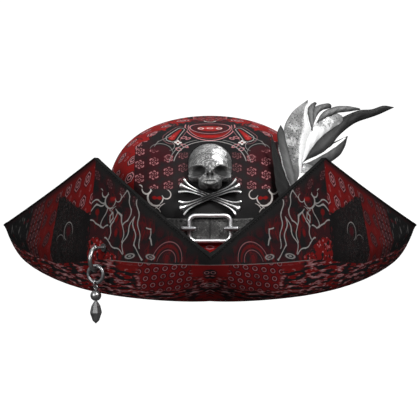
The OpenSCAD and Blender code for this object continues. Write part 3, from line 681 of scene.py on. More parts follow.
def tooth_pattern(points):
    """1 on the teeth, 0 between them."""
    x, y = points[:, 0], points[:, 1]
    pattern = np.zeros(len(points))
    for height, wide in TOOTH_ROWS:
        gap = np.abs((x / TOOTH_STEP) % 1 - 0.5) * 2
        row = (np.abs(y - height) < 0.85) & (np.abs(x) < wide) & (points[:, 2] > 5)
        pattern = np.maximum(pattern, row * np.clip(1.6 - 1.9 * gap, 0, 1))
    return pattern


def badge_place(height, tilt, seat):
    """The frame of a badge on the front of the crown, as an origin and a turn."""
    origin = np.array([0, -CROWN_Y * float(crown_scale(height)), height])
    origin += seat * np.array([0, -math.cos(math.radians(tilt)), math.sin(math.radians(tilt))])
    return origin, np.array(Matrix.Rotation(math.radians(90 - tilt), 3, "X"))


SKULL_AT = badge_place(104, 28, 1.3)
BONES_AT = badge_place(81, 10, 3.2)
BACK_CURVE = 60.4


def placed(points, at):
    """Points of a badge in the hat's frame."""
    origin, turn = at
    return points @ turn.T + origin


def build_skull(materials):
    """The skull as a skin round a point inside it, with its back on the crown."""
    rays, faces = ball_directions(6)

    def solid(p):
        back = BACK_CURVE - np.linalg.norm(p + [0, 0, BACK_CURVE], axis=1)
        return np.maximum(skull_shape(p), back + 0.6)

    centre = np.array([0, -5.0, 4.0])
    points = skin(solid, np.broadcast_to(centre, rays.shape), rays, 26)
    brow, brow_radii = [7.5, 5.5], [6.4, 10.0]
    shading = {
        "relief": skull_head(points),
        # A patch on the right of the brow that the material paints white: a painted highlight.
        "brow_highlight": 1.2 - np.linalg.norm((points[:, :2] - brow) / brow_radii, axis=1),
        # Darker below the cheeks: painted shade over the jaw.
        "jaw_shade": np.clip((-10.5 - points[:, 1]) / 5, 0, 1),
        "teeth": tooth_pattern(points),
    }
    return mesh_piece("skull_casting", placed(points, SKULL_AT), faces, "hat", materials,
                      ["skull_badge"], sharp=80, attributes=shading)


BONE_HALF, BONE_RISE = 25.6, 21.5
BONE_WAIST, BONE_FLARE = 1.7, 4.1


def build_bone(name, side, raised, materials, node):
    """A bone drawn as three ridges that flare apart at its ends, over a dark grooved core."""
    rings = 121
    x = np.linspace(-BONE_HALF, BONE_HALF, rings)
    reach = np.abs(x) / BONE_HALF
    spread = BONE_WAIST + BONE_FLARE * reach ** 5
    rounded = np.sqrt(np.clip((1.02 - reach) / 0.05, 0.02, 1))
    parts = []
    for lane in (-1, 0, 1):
        girth = 0.52 + (1.8 * reach ** 7 if lane == 0 else 0.5 * reach ** 6)
        stretch = 1.0 if lane == 0 else 0.955
        height = 1.1 + 0.3 * reach ** 4 - 0.25 * abs(lane)
        path = np.column_stack([x * stretch, lane * spread, height])
        parts.append(tube(path, girth * rounded, 12))
    across = np.linspace(-1, 1, 9)
    core = spread * np.minimum(1, 14 * (1.0 - reach) + 0.2)
    core_shape = (rings, len(across))
    flat = np.stack([np.broadcast_to(x[:, None] * 0.96, core_shape), core[:, None] * across], axis=-1)
    top = np.dstack([flat, np.full(core_shape, 0.75)])
    low = np.dstack([flat[:, ::-1], np.full(core_shape, -2.3)])
    shell = np.concatenate([top, low], axis=1)
    sides = shell.shape[1]
    core_faces = grid_faces(rings, sides, closed=True) + end_caps(rings, sides)
    parts.append((shell.reshape(-1, 3), core_faces))
    points, faces = gathered(parts)
    dark = [0] * (len(faces) - len(core_faces)) + [1] * len(core_faces)
    # The share of the way from the middle to an end. The material paints it from dull (painted shade at the
    # crossing) to bright (painted highlight at the ends).
    relief = np.abs(points[:, 0]) / BONE_HALF
    points[:, 2] += np.exp(-(points[:, 0] / 5.5) ** 2) * (0.8 if raised else -0.9)
    points[:, 2] = np.maximum(points[:, 2], -2.5)
    c, s = math.cos(math.radians(side * BONE_RISE)), math.sin(math.radians(side * BONE_RISE))
    points = points @ np.array([[c, s, 0], [-s, c, 0], [0, 0, 1]])
    return mesh_piece(name, placed(points, BONES_AT), faces, "hat", materials, [node],
                      sharp=50, face_material=dark, attributes={"relief": relief})


# ---- Feather plume: leaves lofted between two edges in one leaning plane ----

PLUME_BASE = np.array([60.0, -88.0, 68.0])
PLUME_HEADING, PLUME_LEAN = math.radians(36.87), math.radians(74.35)
PLUME_TURN = np.array(Matrix.Rotation(PLUME_HEADING, 3, "Z") @ Matrix.Rotation(PLUME_LEAN, 3, "X"))

# Each leaf: its left edge, its right edge, its level above the plane, how far it is cupped, and its look
LEAVES = {
    "feather_main": (
        [(5, 4), (11, 15), (15.4, 27), (14.8, 42), (12.9, 57.5), (15, 69), (24, 80.4), (33.5, 86.6),
         (42.6, 91.1)],
        [(6.5, 4), (19, 22), (27, 39.8), (34.5, 53), (41.9, 65.1), (40.4, 74), (40.2, 82), (42.9, 90.9)],
        0.6, 4.2, "bright"),
    "feather_side": (
        [(27, 40), (30, 56), (41.9, 65.6), (51, 73.6), (62, 77.2), (72, 79.8), (77.3, 77.6)],
        [(27.2, 39.6), (31.1, 42.6), (38.1, 49.5), (49, 58.4), (61.7, 65.3), (76, 71.3), (77.8, 75.5)],
        -1.0, 1.8, "side"),
    "feather_dark_leaf": (
        [(-1.5, 3.4), (-5.6, 15), (-6.2, 25), (-5.6, 34), (-5.0, 48), (-3.0, 63.2)],
        [(0.5, 3.2), (8.6, 14), (7.6, 21.5), (5.4, 28.5), (2.6, 40), (0.4, 51.5), (-2.6, 63)],
        2.6, 1.6, "dark"),
    "feather_grey_leaf": (
        [(3, 6), (8.4, 20.5), (6.4, 30), (4.9, 41), (4.1, 53.5), (5.5, 64.8), (9.2, 70.8)],
        [(4.5, 5.5), (12.8, 16), (15.9, 26), (15.3, 35.5), (14.2, 47.4), (13.2, 56.3), (12.4, 65.4),
         (9.6, 70.7)],
        1.4, 2.4, "mid"),
    "feather_curl_inner": (
        [(41.9, 65), (40.7, 75), (41.2, 83), (45, 87.2), (49.7, 89.4)],
        [(42.3, 65.2), (45.6, 74), (48, 82.6), (49.8, 86), (51.7, 87.8)],
        0.6, 1.2, "grey"),
    "feather_curl_middle": (
        [(42.2, 65), (46.6, 76), (48.6, 84.2), (56.4, 87.4), (64.9, 88.6), (68, 88.1)],
        [(42.6, 64.9), (49, 74.3), (54, 79.8), (59.1, 82.9), (64, 83.8), (68.2, 84.4)],
        -1.8, 2.2, "grey"),
    "feather_curl_outer": (
        [(48.5, 72.6), (54, 78.2), (60, 82), (69.6, 84.8), (77, 85.6), (87, 85), (95.5, 83.3)],
        [(48.8, 72.2), (58, 75.6), (66, 78), (74, 79.8), (84, 80.4), (97.6, 81.6)],
        0.4, 1.8, "grey"),
    "feather_tail": (
        [(27.2, 40.2), (38, 49.8), (49, 59), (61.7, 66.4), (77, 75.5), (97.9, 81.8), (112.2, 82.4),
         (126, 85.2), (136.6, 83.6)],
        [(27.4, 39.7), (37, 43.0), (51.5, 47), (61, 51.6), (69, 58.5), (77.6, 64.2), (88, 69.5), (97, 72.6),
         (108, 75.0), (120, 77.8), (136.8, 83)],
        -2.0, 2.8, "tail"),
    "feather_low_leaf": (
        [(27, 39.2), (38, 44.6), (52, 50.2), (66, 55.8), (81.6, 60.6)],
        [(27.2, 38.8), (31.1, 34.8), (38, 33.2), (56.5, 38.4), (70, 44.6), (77, 51.4), (81.8, 60.2)],
        -3.2, 2.2, "striped"),
    "feather_stem_leaf": (
        [(14, 22), (20.5, 30), (26.6, 38.9)],
        [(17, 20.5), (29, 27.5), (36.2, 35.2)],
        2.0, 0.6, "side"),
}


def build_leaf(node, materials):
    """A thin cupped leaf between its two edges."""
    left, right, level, cup, look = LEAVES[node]
    rows, columns = 64, 17
    a, b = curve_through(left, rows), curve_through(right, rows)
    s = np.linspace(0, 1, columns)
    flat = a[:, None] + (b - a)[:, None] * s[None, :, None]
    t = np.linspace(0, 1, rows)[:, None]
    wide = np.linalg.norm(b - a, axis=1)[:, None]
    share = wide / wide.max()
    height = level + cup * share * (4 * s * (1 - s) - 0.5) + 0.25 * np.sin(34 * t + 9 * s) * share
    thick = 0.28 * np.minimum(1, 6 * np.minimum(s, 1 - s) + 0.35) * np.ones_like(t)
    top = np.dstack([flat, height + thick])
    bottom = np.dstack([flat, height - thick])
    local = np.vstack([top.reshape(-1, 3), bottom.reshape(-1, 3)])
    points = local @ PLUME_TURN.T + PLUME_BASE
    size = rows * columns
    faces = grid_faces(rows, columns) + grid_faces(rows, columns, start=size, flip=True)
    edge = [i * columns for i in range(rows)]
    far = [i * columns + columns - 1 for i in range(rows)]
    loop = list(range(columns)) + far[1:] + list(range(size - 2, size - columns - 1, -1)) + edge[-2:0:-1]
    faces += [(k, j, j + size, k + size) for j, k in zip(loop, loop[1:] + loop[:1])]
    run = np.concatenate([[0], np.cumsum(np.linalg.norm(np.diff((a + b) / 2, axis=0), axis=1))])[:, None]
    barbs = np.dstack([np.broadcast_to(run, (rows, columns)), (s - 0.5) * wide]).reshape(-1, 2)
    place = np.dstack(np.broadcast_arrays(t, s)).reshape(-1, 2)
    uvs = {"barbs": np.vstack([barbs, barbs]), "share": np.vstack([place, place])}
    name = node.replace("feather_", "vane_")
    return mesh_piece(name, points, faces, "hat", [materials[look]], [node], uvs=uvs, sharp=50)


# ---- Print motifs: masks in millimetres of cloth ----


def oval(x, y, centre, radii, turn=0.0):
    """The distance outside an oval; negative within it."""
    dx, dy = x - centre[0], y - centre[1]
    if turn:
        dx, dy = turned(dx, dy, turn)
    return (length(dx / radii[0], dy / radii[1]) - 1.0) * min(radii)


def ring(x, y, centre, radii, width, turn=0.0):
    """A stroke along the edge of an oval."""
    return (oval(x, y, centre, radii, turn).abs() - width / 2).inside()


def arc(x, y, centre, radius, width, start, end, taper=0.6):
    """A stroke along part of a circle, between two angles in degrees, thinner towards its ends."""
    half = math.radians(end - start) / 2
    lx, ly = turned(x - centre[0], y - centre[1], (start + end) / 2)
    share = ly.math("ARCTAN2", lx).abs() / half
    off = (length(lx, ly) - radius).abs() - (share * share * (-taper * width / 2) + width / 2)
    return off.max((share - 1.0) * (radius * half)).inside()


def flourish(x, y, size=1.0):
    """Strokes of a curled flourish round the origin, about 24 mm wide at size 1."""
    x, y = x / size, y / size
    strokes = [
        ((0.0, 0.0), 6.3, 1.5, 118, 305), ((0.0, 0.5), 6.2, 0.8, -55, 8), ((8.8, 3.2), 3.6, 0.8, -165, 75),
        ((-7.4, 6.2), 3.6, 1.3, 175, 372), ((-13.0, 7.2), 2.2, 0.8, 10, 100),
        ((5.3, -11.5), 6.0, 0.5, 95, 150), ((-2.0, -13.5), 6.5, 0.5, 20, 75),
        ((10.5, -12.0), 8.5, 0.5, 110, 158), ((-8.0, -11.0), 8.0, 0.5, 30, 72),
    ]
    mask = None
    for stroke in strokes:
        one = arc(x, y, *stroke)
        mask = one if mask is None else mask.max(one)
    return mask


def blossom(x, y, size):
    """A round flower of broken strokes: an outer ring of petals, a ring inside it and a heart."""
    x, y = turned(x, y, 38)
    r = length(x, y * 1.25)
    turn = y.math("ARCTAN2", x)
    petal = (turn * 6.0).math("COSINE")
    outer = ((r - (petal * 0.12 + 1.0) * size).abs() - 0.34 * size * 0.5).inside(0.3)
    gaps = (turn * 6.0 + 0.9).math("SINE").over(-0.55, 0.4)
    inner = ((r - 0.5 * size).abs() - 0.2 * size * 0.5).inside(0.3)
    inner = inner * (turn * 4.0).math("SINE").over(-0.3, 0.5)
    heart = (r - 0.12 * size).inside(0.3)
    return (outer * gaps).max(inner).max(heart), (r - 1.75 * size).inside(1.6 * size)


def hexagon(x, y, wide, tall):
    """A measure that is 1 on a hexagon standing on a corner."""
    ax, ay = x.abs() / wide, y.abs() / tall
    return (ax * 0.5 + ay * 0.87).max(ax)


def band_mask(measure, level, width, soft=0.09):
    """1 in a band round one level of a measure."""
    return ((measure - level).abs() - width / 2).inside(soft)


def from_segment(x, y, start, end):
    """The share of the way along a segment, and the distance from it."""
    dx, dy = end[0] - start[0], end[1] - start[1]
    reach = dx * dx + dy * dy
    px, py = x - start[0], y - start[1]
    along = (px * (dx / reach)).math("ADD", py * (dy / reach), clamp=True)
    return along, length(along.math("MULTIPLY_ADD", -dx, px), along.math("MULTIPLY_ADD", -dy, py))


def teardrop(x, y, head, tail, wide, narrow):
    """The distance outside a drop that narrows from its head to its tail."""
    along, off = from_segment(x, y, head, tail)
    return off + along * (wide - narrow) - wide


def stroke(x, y, points, width):
    """A drawn line through a few points."""
    nearest = None
    for start, end in zip(points, points[1:]):
        off = from_segment(x, y, start, end)[1]
        nearest = off if nearest is None else nearest.math("SMOOTH_MIN", off, 1.2)
    return (nearest - width / 2).inside()


def hexagon_flowers(g, x, y, period, size, where):
    """A staggered field of dark-edged hexagon flowers with a small bud between them."""
    wide, tall = period
    row = y.step_of(tall)
    px = ((row * 0.5).math("FRACT") * wide + x).wrap(wide)
    py = y.wrap(tall)
    measure = hexagon(px, py, *size)
    g.paint(BLACK, (measure - 1.3).inside(0.15) * where)
    g.paint(PINK, band_mask(measure, 1.0, 0.24) * where)
    g.paint(PINK, band_mask(measure, 0.45, 0.28) * where)
    bud = oval((px + wide / 2).wrap(wide), py, (0, 0), (size[0] * 0.36, size[1] * 0.5))
    g.paint(PINK, (bud.abs() - 0.3).inside(0.3) * where * 0.5)


BLACK = (0.0060, 0.0056, 0.0060)
CHARCOAL = (0.022, 0.0215, 0.0215)
MAROON = (0.034, 0.0026, 0.0048)
DEEP_RED = (0.108, 0.0028, 0.0028)
BRIGHT_RED = (0.225, 0.0050, 0.0048)
SALMON = (0.44, 0.060, 0.050)
PINK = (0.34, 0.135, 0.145)
CHALK = (0.52, 0.48, 0.46)
ASH = (0.20, 0.19, 0.185)


def cloth_surface(g, u, v, thread=0.55):
    """The weave's bump, and its roughness, over print coordinates."""
    warp = (u * (2 * math.pi / thread)).math("SINE")
    weft = (v * (2 * math.pi / thread)).math("SINE")
    plane = g.vector(u, v)
    slub = g.noise(plane, 0.9, 3.0, 0.6)
    folds = g.noise(plane, 0.035, 2.0, 0.5)
    height = (warp * weft) * 0.12 + slub * 0.35 + folds * 2.2
    g.shade((slub * 0.5 + 0.75) * (folds * 0.5 + 0.75))
    return height, slub * 0.1 + 0.82


def crown_blossoms(g, ax, v, plane):
    """A grid of blossoms on either side of the skull."""
    worn = g.noise(plane, 0.55, 2.0, 0.6).over(0.36, 0.16)
    fx = (ax - 9.6).wrap(11.8)
    fy = (ax * 0.31 + v - 112.0).wrap(11.8)
    field = ax.over(17, 3) * v.over(87, 2) * oval(ax, v, (30, 148), (28, 30)).over(0, 2)
    field = field * (1.0 - v.over(121.5, 2))
    strokes, glow = blossom(fx, fy, 3.5)
    fade = ax.over(30, 24) * 0.55 + 0.25
    g.paint(MAROON, glow * field * fade)
    g.paint(PINK, strokes * field * fade * worn)


def crown_flourish(g, ax, v):
    """A flourish on the lower crown, over a small bow."""
    waist = (v - 79.6).abs() - 0.5 - (ax - 42.3).abs() * 0.5
    bow = oval(ax, v, (42.3, 79.6), (3.9, 1.7)).max(waist)
    g.paint(BRIGHT_RED, bow.inside(0.6) * 0.8)
    g.paint(CHALK, flourish(43.5 - ax, v - 79.6) * 0.9)


def crown_medallion(g, ax, v, plane):
    """The medallion on top of the front."""
    g.paint(BLACK, oval(ax, v, (12, 150), (33, 27)).inside(1.0))
    g.paint(MAROON, v.over(168, 4) * g.noise(plane, 0.11, 2.0).over(0.5, 0.2))
    g.paint(BRIGHT_RED, oval(ax, v, (0, 156.5), (10.5, 6.0)).inside(0.5) * 0.7)
    g.paint(SALMON, oval(ax, v, (0, 157), (7.5, 1.7)).inside(1.2) * 0.6)
    g.paint(CHALK, ring(ax, v, (7.4, 156.3), (2.0, 1.6), 0.8) * 0.8)
    g.paint(CHALK, ring(ax, v, (0, 157.2), (2.2, 1.4), 0.7) * 0.6)
    g.paint(MAROON, ring(ax, v, (0, 157), (13.0, 8.6), 1.6))
    g.paint(PINK, ring(ax, v, (0, 157.5), (16.4, 11.2), 0.7) * 0.85)
    crescent = oval(ax, v, (0, 157.5), (17.5, 19.5)).max(-oval(ax, v, (0, 162), (19.5, 17.5))).inside(0.5)
    g.paint(DEEP_RED, crescent)
    g.paint(BRIGHT_RED, oval(ax, v, (0, 141.5), (11.5, 1.7)).inside(1.2) * 0.8)
    below = 1.0 - v.over(163, 3)
    g.paint(PINK, ring(ax, v, (0, 158.5), (20.3, 23.3), 0.8) * below)
    g.paint(PINK, ring(ax, v, (0, 158.5), (17.8, 20.8), 0.5) * below * v.over(140, 6))
    g.paint(CHALK, ring(ax, v, (0, 178), (4.6, 3.4), 0.8) * 0.8)
    g.paint(BRIGHT_RED, oval(ax, v, (0, 178), (2.4, 1.6)).inside(0.5) * 0.8)
    g.paint(ASH, ring(ax, v, (0, 190), (9, 4.5), 0.6))


def crown_paisleys(g, ax, v, plane):
    """Teardrop paisleys that lean over the skull."""
    drop = teardrop(ax, v, (31.0, 136.5), (23.5, 152.0), 2.7, 0.7)
    g.paint(BLACK, (drop - 4.4).inside(0.5))
    g.paint(CHALK, ((drop - 2.0).abs() - 0.22).inside(0.3) * 0.6)
    g.paint(PINK, ((drop - 4.6).abs() - 0.2).inside(0.3) * 0.5)
    g.paint(BRIGHT_RED, drop.inside(0.5) * 0.75)
    g.paint(SALMON, (drop + 1.5).inside(0.8) * g.noise(plane, 0.9, 2.0).over(0.48, 0.1) * 0.6)


def crown_scrolls(g, ax, v):
    """A small flower, buds and scrolls below the medallion."""
    bx, by = ax - 25.8, v - 131.4
    turn = by.math("ARCTAN2", bx)
    petals = length(bx, by) - ((turn * 4.0).math("COSINE") * 0.7 + 2.4)
    g.paint(CHALK, petals.inside(0.4) * 0.9)
    g.paint(DEEP_RED, (length(bx, by) - 1.0).inside(0.4))
    for at, radii, tilt in (((21.2, 138.6), (2.3, 1.2), -30), ((17.6, 137.4), (1.9, 1.0), -35),
                            ((20.4, 127.6), (3.0, 1.3), 32), ((25.2, 123.4), (2.2, 1.5), 20)):
        g.paint(PINK, ring(ax, v, at, radii, 0.6, tilt) * 0.85)
    g.paint(ASH, arc(ax, v, (0, 105.0), 29.5, 0.75, 12, 90, 0.2))
    g.paint(ASH, arc(ax, v, (0, 104.0), 33.2, 0.6, 10, 72, 0.4) * 0.8)
    g.paint(MAROON, (oval(ax, v, (39.5, 118.5), (8.6, 8.2)).inside(1.5)) * 0.6)
    g.paint(ASH, arc(ax, v, (39.5, 119.0), 9.6, 0.6, 20, 175) * 0.7)
    g.paint(ASH, arc(ax, v, (34.5, 127.0), 6.0, 0.6, 60, 250) * 0.7)
    g.paint(PINK, ring(ax, v, (33.0, 114.5), (2.6, 2.2), 0.5, 30) * 0.5)
    g.paint(ASH, stroke(ax, v, [(31, 140), (37, 135), (42, 131), (45, 125)], 0.5) * 0.7)


def crown_sides(g, ax, y, v, plane):
    """Red side panels with dark-edged flowers, ragged towards the top."""
    ragged = g.noise(plane, 0.12, 4.0, 0.65) - 0.5
    edge = (v - 119.0).max(0.0) * 0.82 + ax + ragged * v.over(118, 16) * 16.0
    red = edge.over(61.5, 0.8)
    top = (v + ragged * 20.0).over(179, 3)
    on_red = red * (1.0 - top)
    g.paint(DEEP_RED, red)
    g.paint(BRIGHT_RED, red * g.noise(g.vector(y, v), 0.05, 2.0).over(0.34, 0.5) * 0.6)
    rows = v - 94.0
    hexagon_flowers(g, rows * 0.2 + (y + 61.0), rows, (22.0, 15.5), (4.0, 4.2), on_red)
    g.paint(BLACK, g.noise(plane, 0.07, 3.0, 0.7).over(0.56, 0.05) * on_red * v.over(112, 10) * 0.85)
    g.paint((0.085, 0.0035, 0.005), top)
    g.paint(BLACK, top * g.noise(plane, 0.16, 3.0).over(0.50, 0.08))
    g.paint(PINK, top * band_mask(g.noise(plane, 0.16, 3.0), 0.48, 0.02, 0.02) * 0.7)


def crown_below_band(g, ax, v):
    """Red below the band, seen through the notch over the beak."""
    low = (v - 45.5).inside(1.0) * (1.0 - ax.over(42, 6))
    g.paint(BRIGHT_RED, low)
    g.paint(PINK, ring(ax, v, (0, 41.5), (2.8, 1.3), 0.7) * low)
    g.paint(BLACK, ring(ax, v, (0, 38.0), (22.0, 3.4), 0.8) * low * 0.7)


def crown_material():
    """The crown's print, mirrored left to right. x runs across its front, y across its side and v up it."""
    g = Shader("crown print", BLACK)
    x, v = g.uv("front")
    y, _ = g.uv("side")
    ax = x.abs()
    plane = g.vector(ax, v)
    cloud = g.noise(plane, 0.06, 3.0, 0.6)
    g.paint(MAROON, (cloud * ax.over(34, 30)).over(0.44, 0.2) * 0.35)
    g.paint(CHARCOAL, oval(ax, v, (0, 84), (46, 30)).inside(20) * 0.6)
    crown_blossoms(g, ax, v, plane)
    crown_flourish(g, ax, v)
    crown_medallion(g, ax, v, plane)
    crown_paisleys(g, ax, v, plane)
    crown_scrolls(g, ax, v)
    crown_sides(g, ax, y, v, plane)
    crown_below_band(g, ax, v)
    height, rough = cloth_surface(g, ax, v)
    return g.finish(rough, height, 0.16, Specular_IOR_Level=0.10)


# Drawn lines of the flap's tendrils, as distances along the fold from the beak and up from the fold
TENDRILS = [
    [(128, 41), (131, 35), (134, 28), (131, 25), (124, 26)],
    [(148, 30), (141, 27), (136, 28), (133, 26)],
    [(122, 38), (124, 34), (121, 29), (119, 34), (122, 38)],
    [(116, 40), (117, 32), (121, 26), (121, 16)],
    [(118, 42), (110, 35), (105, 27), (103, 14)],
    [(112, 50), (108, 55), (103, 51), (99, 43), (100, 33), (105, 27)],
    [(93, 50), (90, 38), (83, 18), (80, 12)],
    [(94, 36), (91, 25), (87, 12), (76, 3)],
    [(94, 36), (98, 26), (102, 14), (101, 7)],
    [(76, 29), (71, 26), (72, 19), (66, 13)],
    [(127, 16), (118, 14), (111, 10), (102, 6)],
    [(149, 44), (140, 46), (131, 46)],
    [(131, 45), (142, 42), (152, 37)],
]


def front_of_flap(g, p, q, from_rim, cloud):
    """Charcoal with faint blossoms, tendrils, and paisleys near the fold."""
    plane = g.vector(p, q)
    front = 1.0 - p.over(150, 1.0)
    curls = g.noise(g.vector(p * 1.3, q * 0.6), 0.09, 2.0, 0.5, 0.6)
    g.paint(MAROON, cloud.over(0.5, 0.12) * 0.5)
    g.paint((0.080, 0.003, 0.004), curls.over(0.59, 0.04) * 0.6)
    g.paint(BLACK, band_mask(curls, 0.63, 0.03, 0.02))
    g.paint((0.010, 0.0096, 0.0096), (from_rim - 8.0).inside(8.0) * front)
    strokes, glow = blossom((p - 10).wrap(17.0), (p * -0.36 + q).wrap(14.0), 3.2)
    shown = (from_rim - 17.0).inside(6.0) * front * p.over(95, 6)
    g.paint(MAROON, glow * shown * 0.4)
    g.paint(PINK, strokes * shown * 0.16)

    g.paint(BRIGHT_RED, oval(p, q, (122.5, 48.8), (3.6, 1.6)).inside(1.2) * 0.5)
    for at, radii in (((115, 34), (2.2, 3.4)), ((141, 37), (2.6, 2.6)), ((113, 22), (1.8, 3.0))):
        g.paint(DEEP_RED, oval(p, q, at, radii).inside(1.4) * 0.8)
    g.paint(ASH, flourish((p - 125.5) * -0.9, q - 47.0, 0.95))
    bent_p, bent_q = (q * 0.37).math("SINE") * 1.3 + p, (p * 0.33 + 1.0).math("SINE") * 1.5 + q
    for points in TENDRILS:
        g.paint(ASH, stroke(bent_p, bent_q, points, 1.0))
    for at, radii, lean in (((91, 4.5), (6.2, 2.2), -8), ((66, 4.9), (5.6, 2.2), 6)):
        g.paint(ASH, oval(p, q, at, radii, lean).inside(0.5) * 0.8)
        g.paint(BLACK, ring(p, q, at, (radii[0] * 0.5, radii[1] * 0.45), 0.7, lean))

    # paisley arches near the beak, and a red patch by the charm
    arches = ((20, MAROON, 3.0), (17, PINK, 0.7), (13.5, DEEP_RED, 2.4), (10.5, PINK, 0.5))
    for radius, colour, width in arches:
        g.paint(colour, arc(p, q, (47, 0.5), radius, width, 5, 175, 0.2) * 0.45)
    slope = (q + (p - 139.0).abs() * 0.50 - 18.5).max(p - 150.0)
    patch = (slope + (cloud - 0.5) * 8.0).inside(0.8) * p.over(108, 2.0)
    spots = g.cells(plane, 0.30)
    g.paint(DEEP_RED, patch)
    g.paint(PINK, band_mask(spots, 0.24, 0.09, 0.05) * patch * 0.9)
    g.paint(BLACK, g.noise(plane, 0.20, 2.0).over(0.56, 0.04) * patch)


def back_of_flap(g, p, q, from_rim):
    """Red ground with hexagon flowers, a dark scribbled column, small ovals and flecks by the corner."""
    plane = g.vector(p, q)
    tall = g.noise(g.vector(p, q * 0.35), 0.22, 2.0, 0.6)
    ragged = (g.noise(plane, 0.15, 4.0, 0.7) - 0.5) * 16.0
    back = (ragged * (1.0 - q.over(34, 8.0)) * 2.0 + p).over(150, 1.0)
    upper = (q - p * 0.17 - 10.0 + ragged).over(0.0, 1.0) * (1.0 - p.over(236, 3.0))
    column = (p + ragged * 0.3).over(214, 1.2) * (1.0 - (p + ragged * 0.2).over(268, 3.0))
    red = upper.max(column) * back
    grey = back * (1.0 - red) * (1.0 - (ragged * 0.7 + p).over(216, 2.0))
    g.paint((0.0035, 0.003, 0.0032), grey)
    scribble = g.noise(g.vector(p, q * 0.55), 0.26, 3.0, 0.6, 2.4)
    drawn = grey * (p + ragged * 3.0).over(166, 30.0)
    patchy = g.noise(g.vector(p, q * 0.5), 0.10, 2.0, 0.6).over(0.42, 0.12)
    g.paint((0.13, 0.125, 0.12), band_mask(scribble, 0.5, 0.008, 0.010) * drawn * patchy)
    g.paint((0.05, 0.012, 0.013), band_mask(scribble, 0.58, 0.02, 0.02) * drawn)
    g.paint(MAROON, oval(p, q, (185, 18), (3.6, 3.8)).inside(2.2) * grey)
    g.paint(ASH, arc(p, q, (185, 18), 7.6, 0.8, -80, 190) * grey * 0.9)
    g.paint(ASH, arc(p, q, (197, 6), 8.0, 0.6, 20, 150) * grey * 0.6)
    g.paint(DEEP_RED, red)
    g.paint((0.125, 0.0030, 0.0030), red * (from_rim - 14.0).over(0.0, 10.0) * (1.0 - p.over(222, 16.0)))
    near = 1.0 - p.over(214, 6.0) * 0.75
    flowers = red * (1.0 - p.over(240, 2.0)) * (from_rim - 7.0).over(0.0, 1.0)
    u, w = p - 161.0, (p - 161.0) * 0.31 + q - 62.7
    measure = hexagon((w * 0.28 + u).wrap(18.0), w.wrap(18.0), 4.6, 4.9)
    g.paint((0.03, 0.003, 0.004), (measure - 1.25).inside(0.3) * flowers)
    g.paint(PINK, band_mask(measure, 0.95, 0.18) * flowers * near * 0.8)
    g.paint(PINK, band_mask(measure, 0.42, 0.24) * flowers * near * 0.8)
    bud = oval((w * 0.28 + u + 9.0).wrap(18.0), (w + 9.0).wrap(18.0), (0, 0), (1.2, 2.2))
    g.paint(PINK, (bud.abs() - 0.35).inside(0.4) * flowers * near * 0.3)
    far = p.over(243, 2.0) * red
    g.paint(MAROON, far * (tall - 0.5).over(0.0, 0.1))
    rings = oval((p + q * 0.3 - 245.0).wrap(6.6), (p * 0.35 + q).wrap(7.4), (0, 0), (1.5, 2.5))
    g.paint(BLACK, (rings - 0.9).inside(0.5) * far)
    g.paint(MAROON, (rings + 0.5).inside(0.5) * far)
    g.paint(PINK, (rings.abs() - 0.3).inside(0.4) * far * 0.55)

    corner = (p + ragged * 0.4).over(270, 2.0)
    g.paint(BLACK, corner)
    flecks = g.noise(g.vector(p, q * 0.22), 0.42, 1.0, 0.4)
    g.paint(ASH, flecks.over(0.66, 0.05) * corner * 0.8)
    g.paint((0.085, 0.002, 0.006), (g.cells(plane, 0.13) - 0.22).inside(0.1) * corner * 0.9)
    g.paint((0.014, 0.005, 0.006), (from_rim - 5.0).inside(4.0) * back * 0.85)


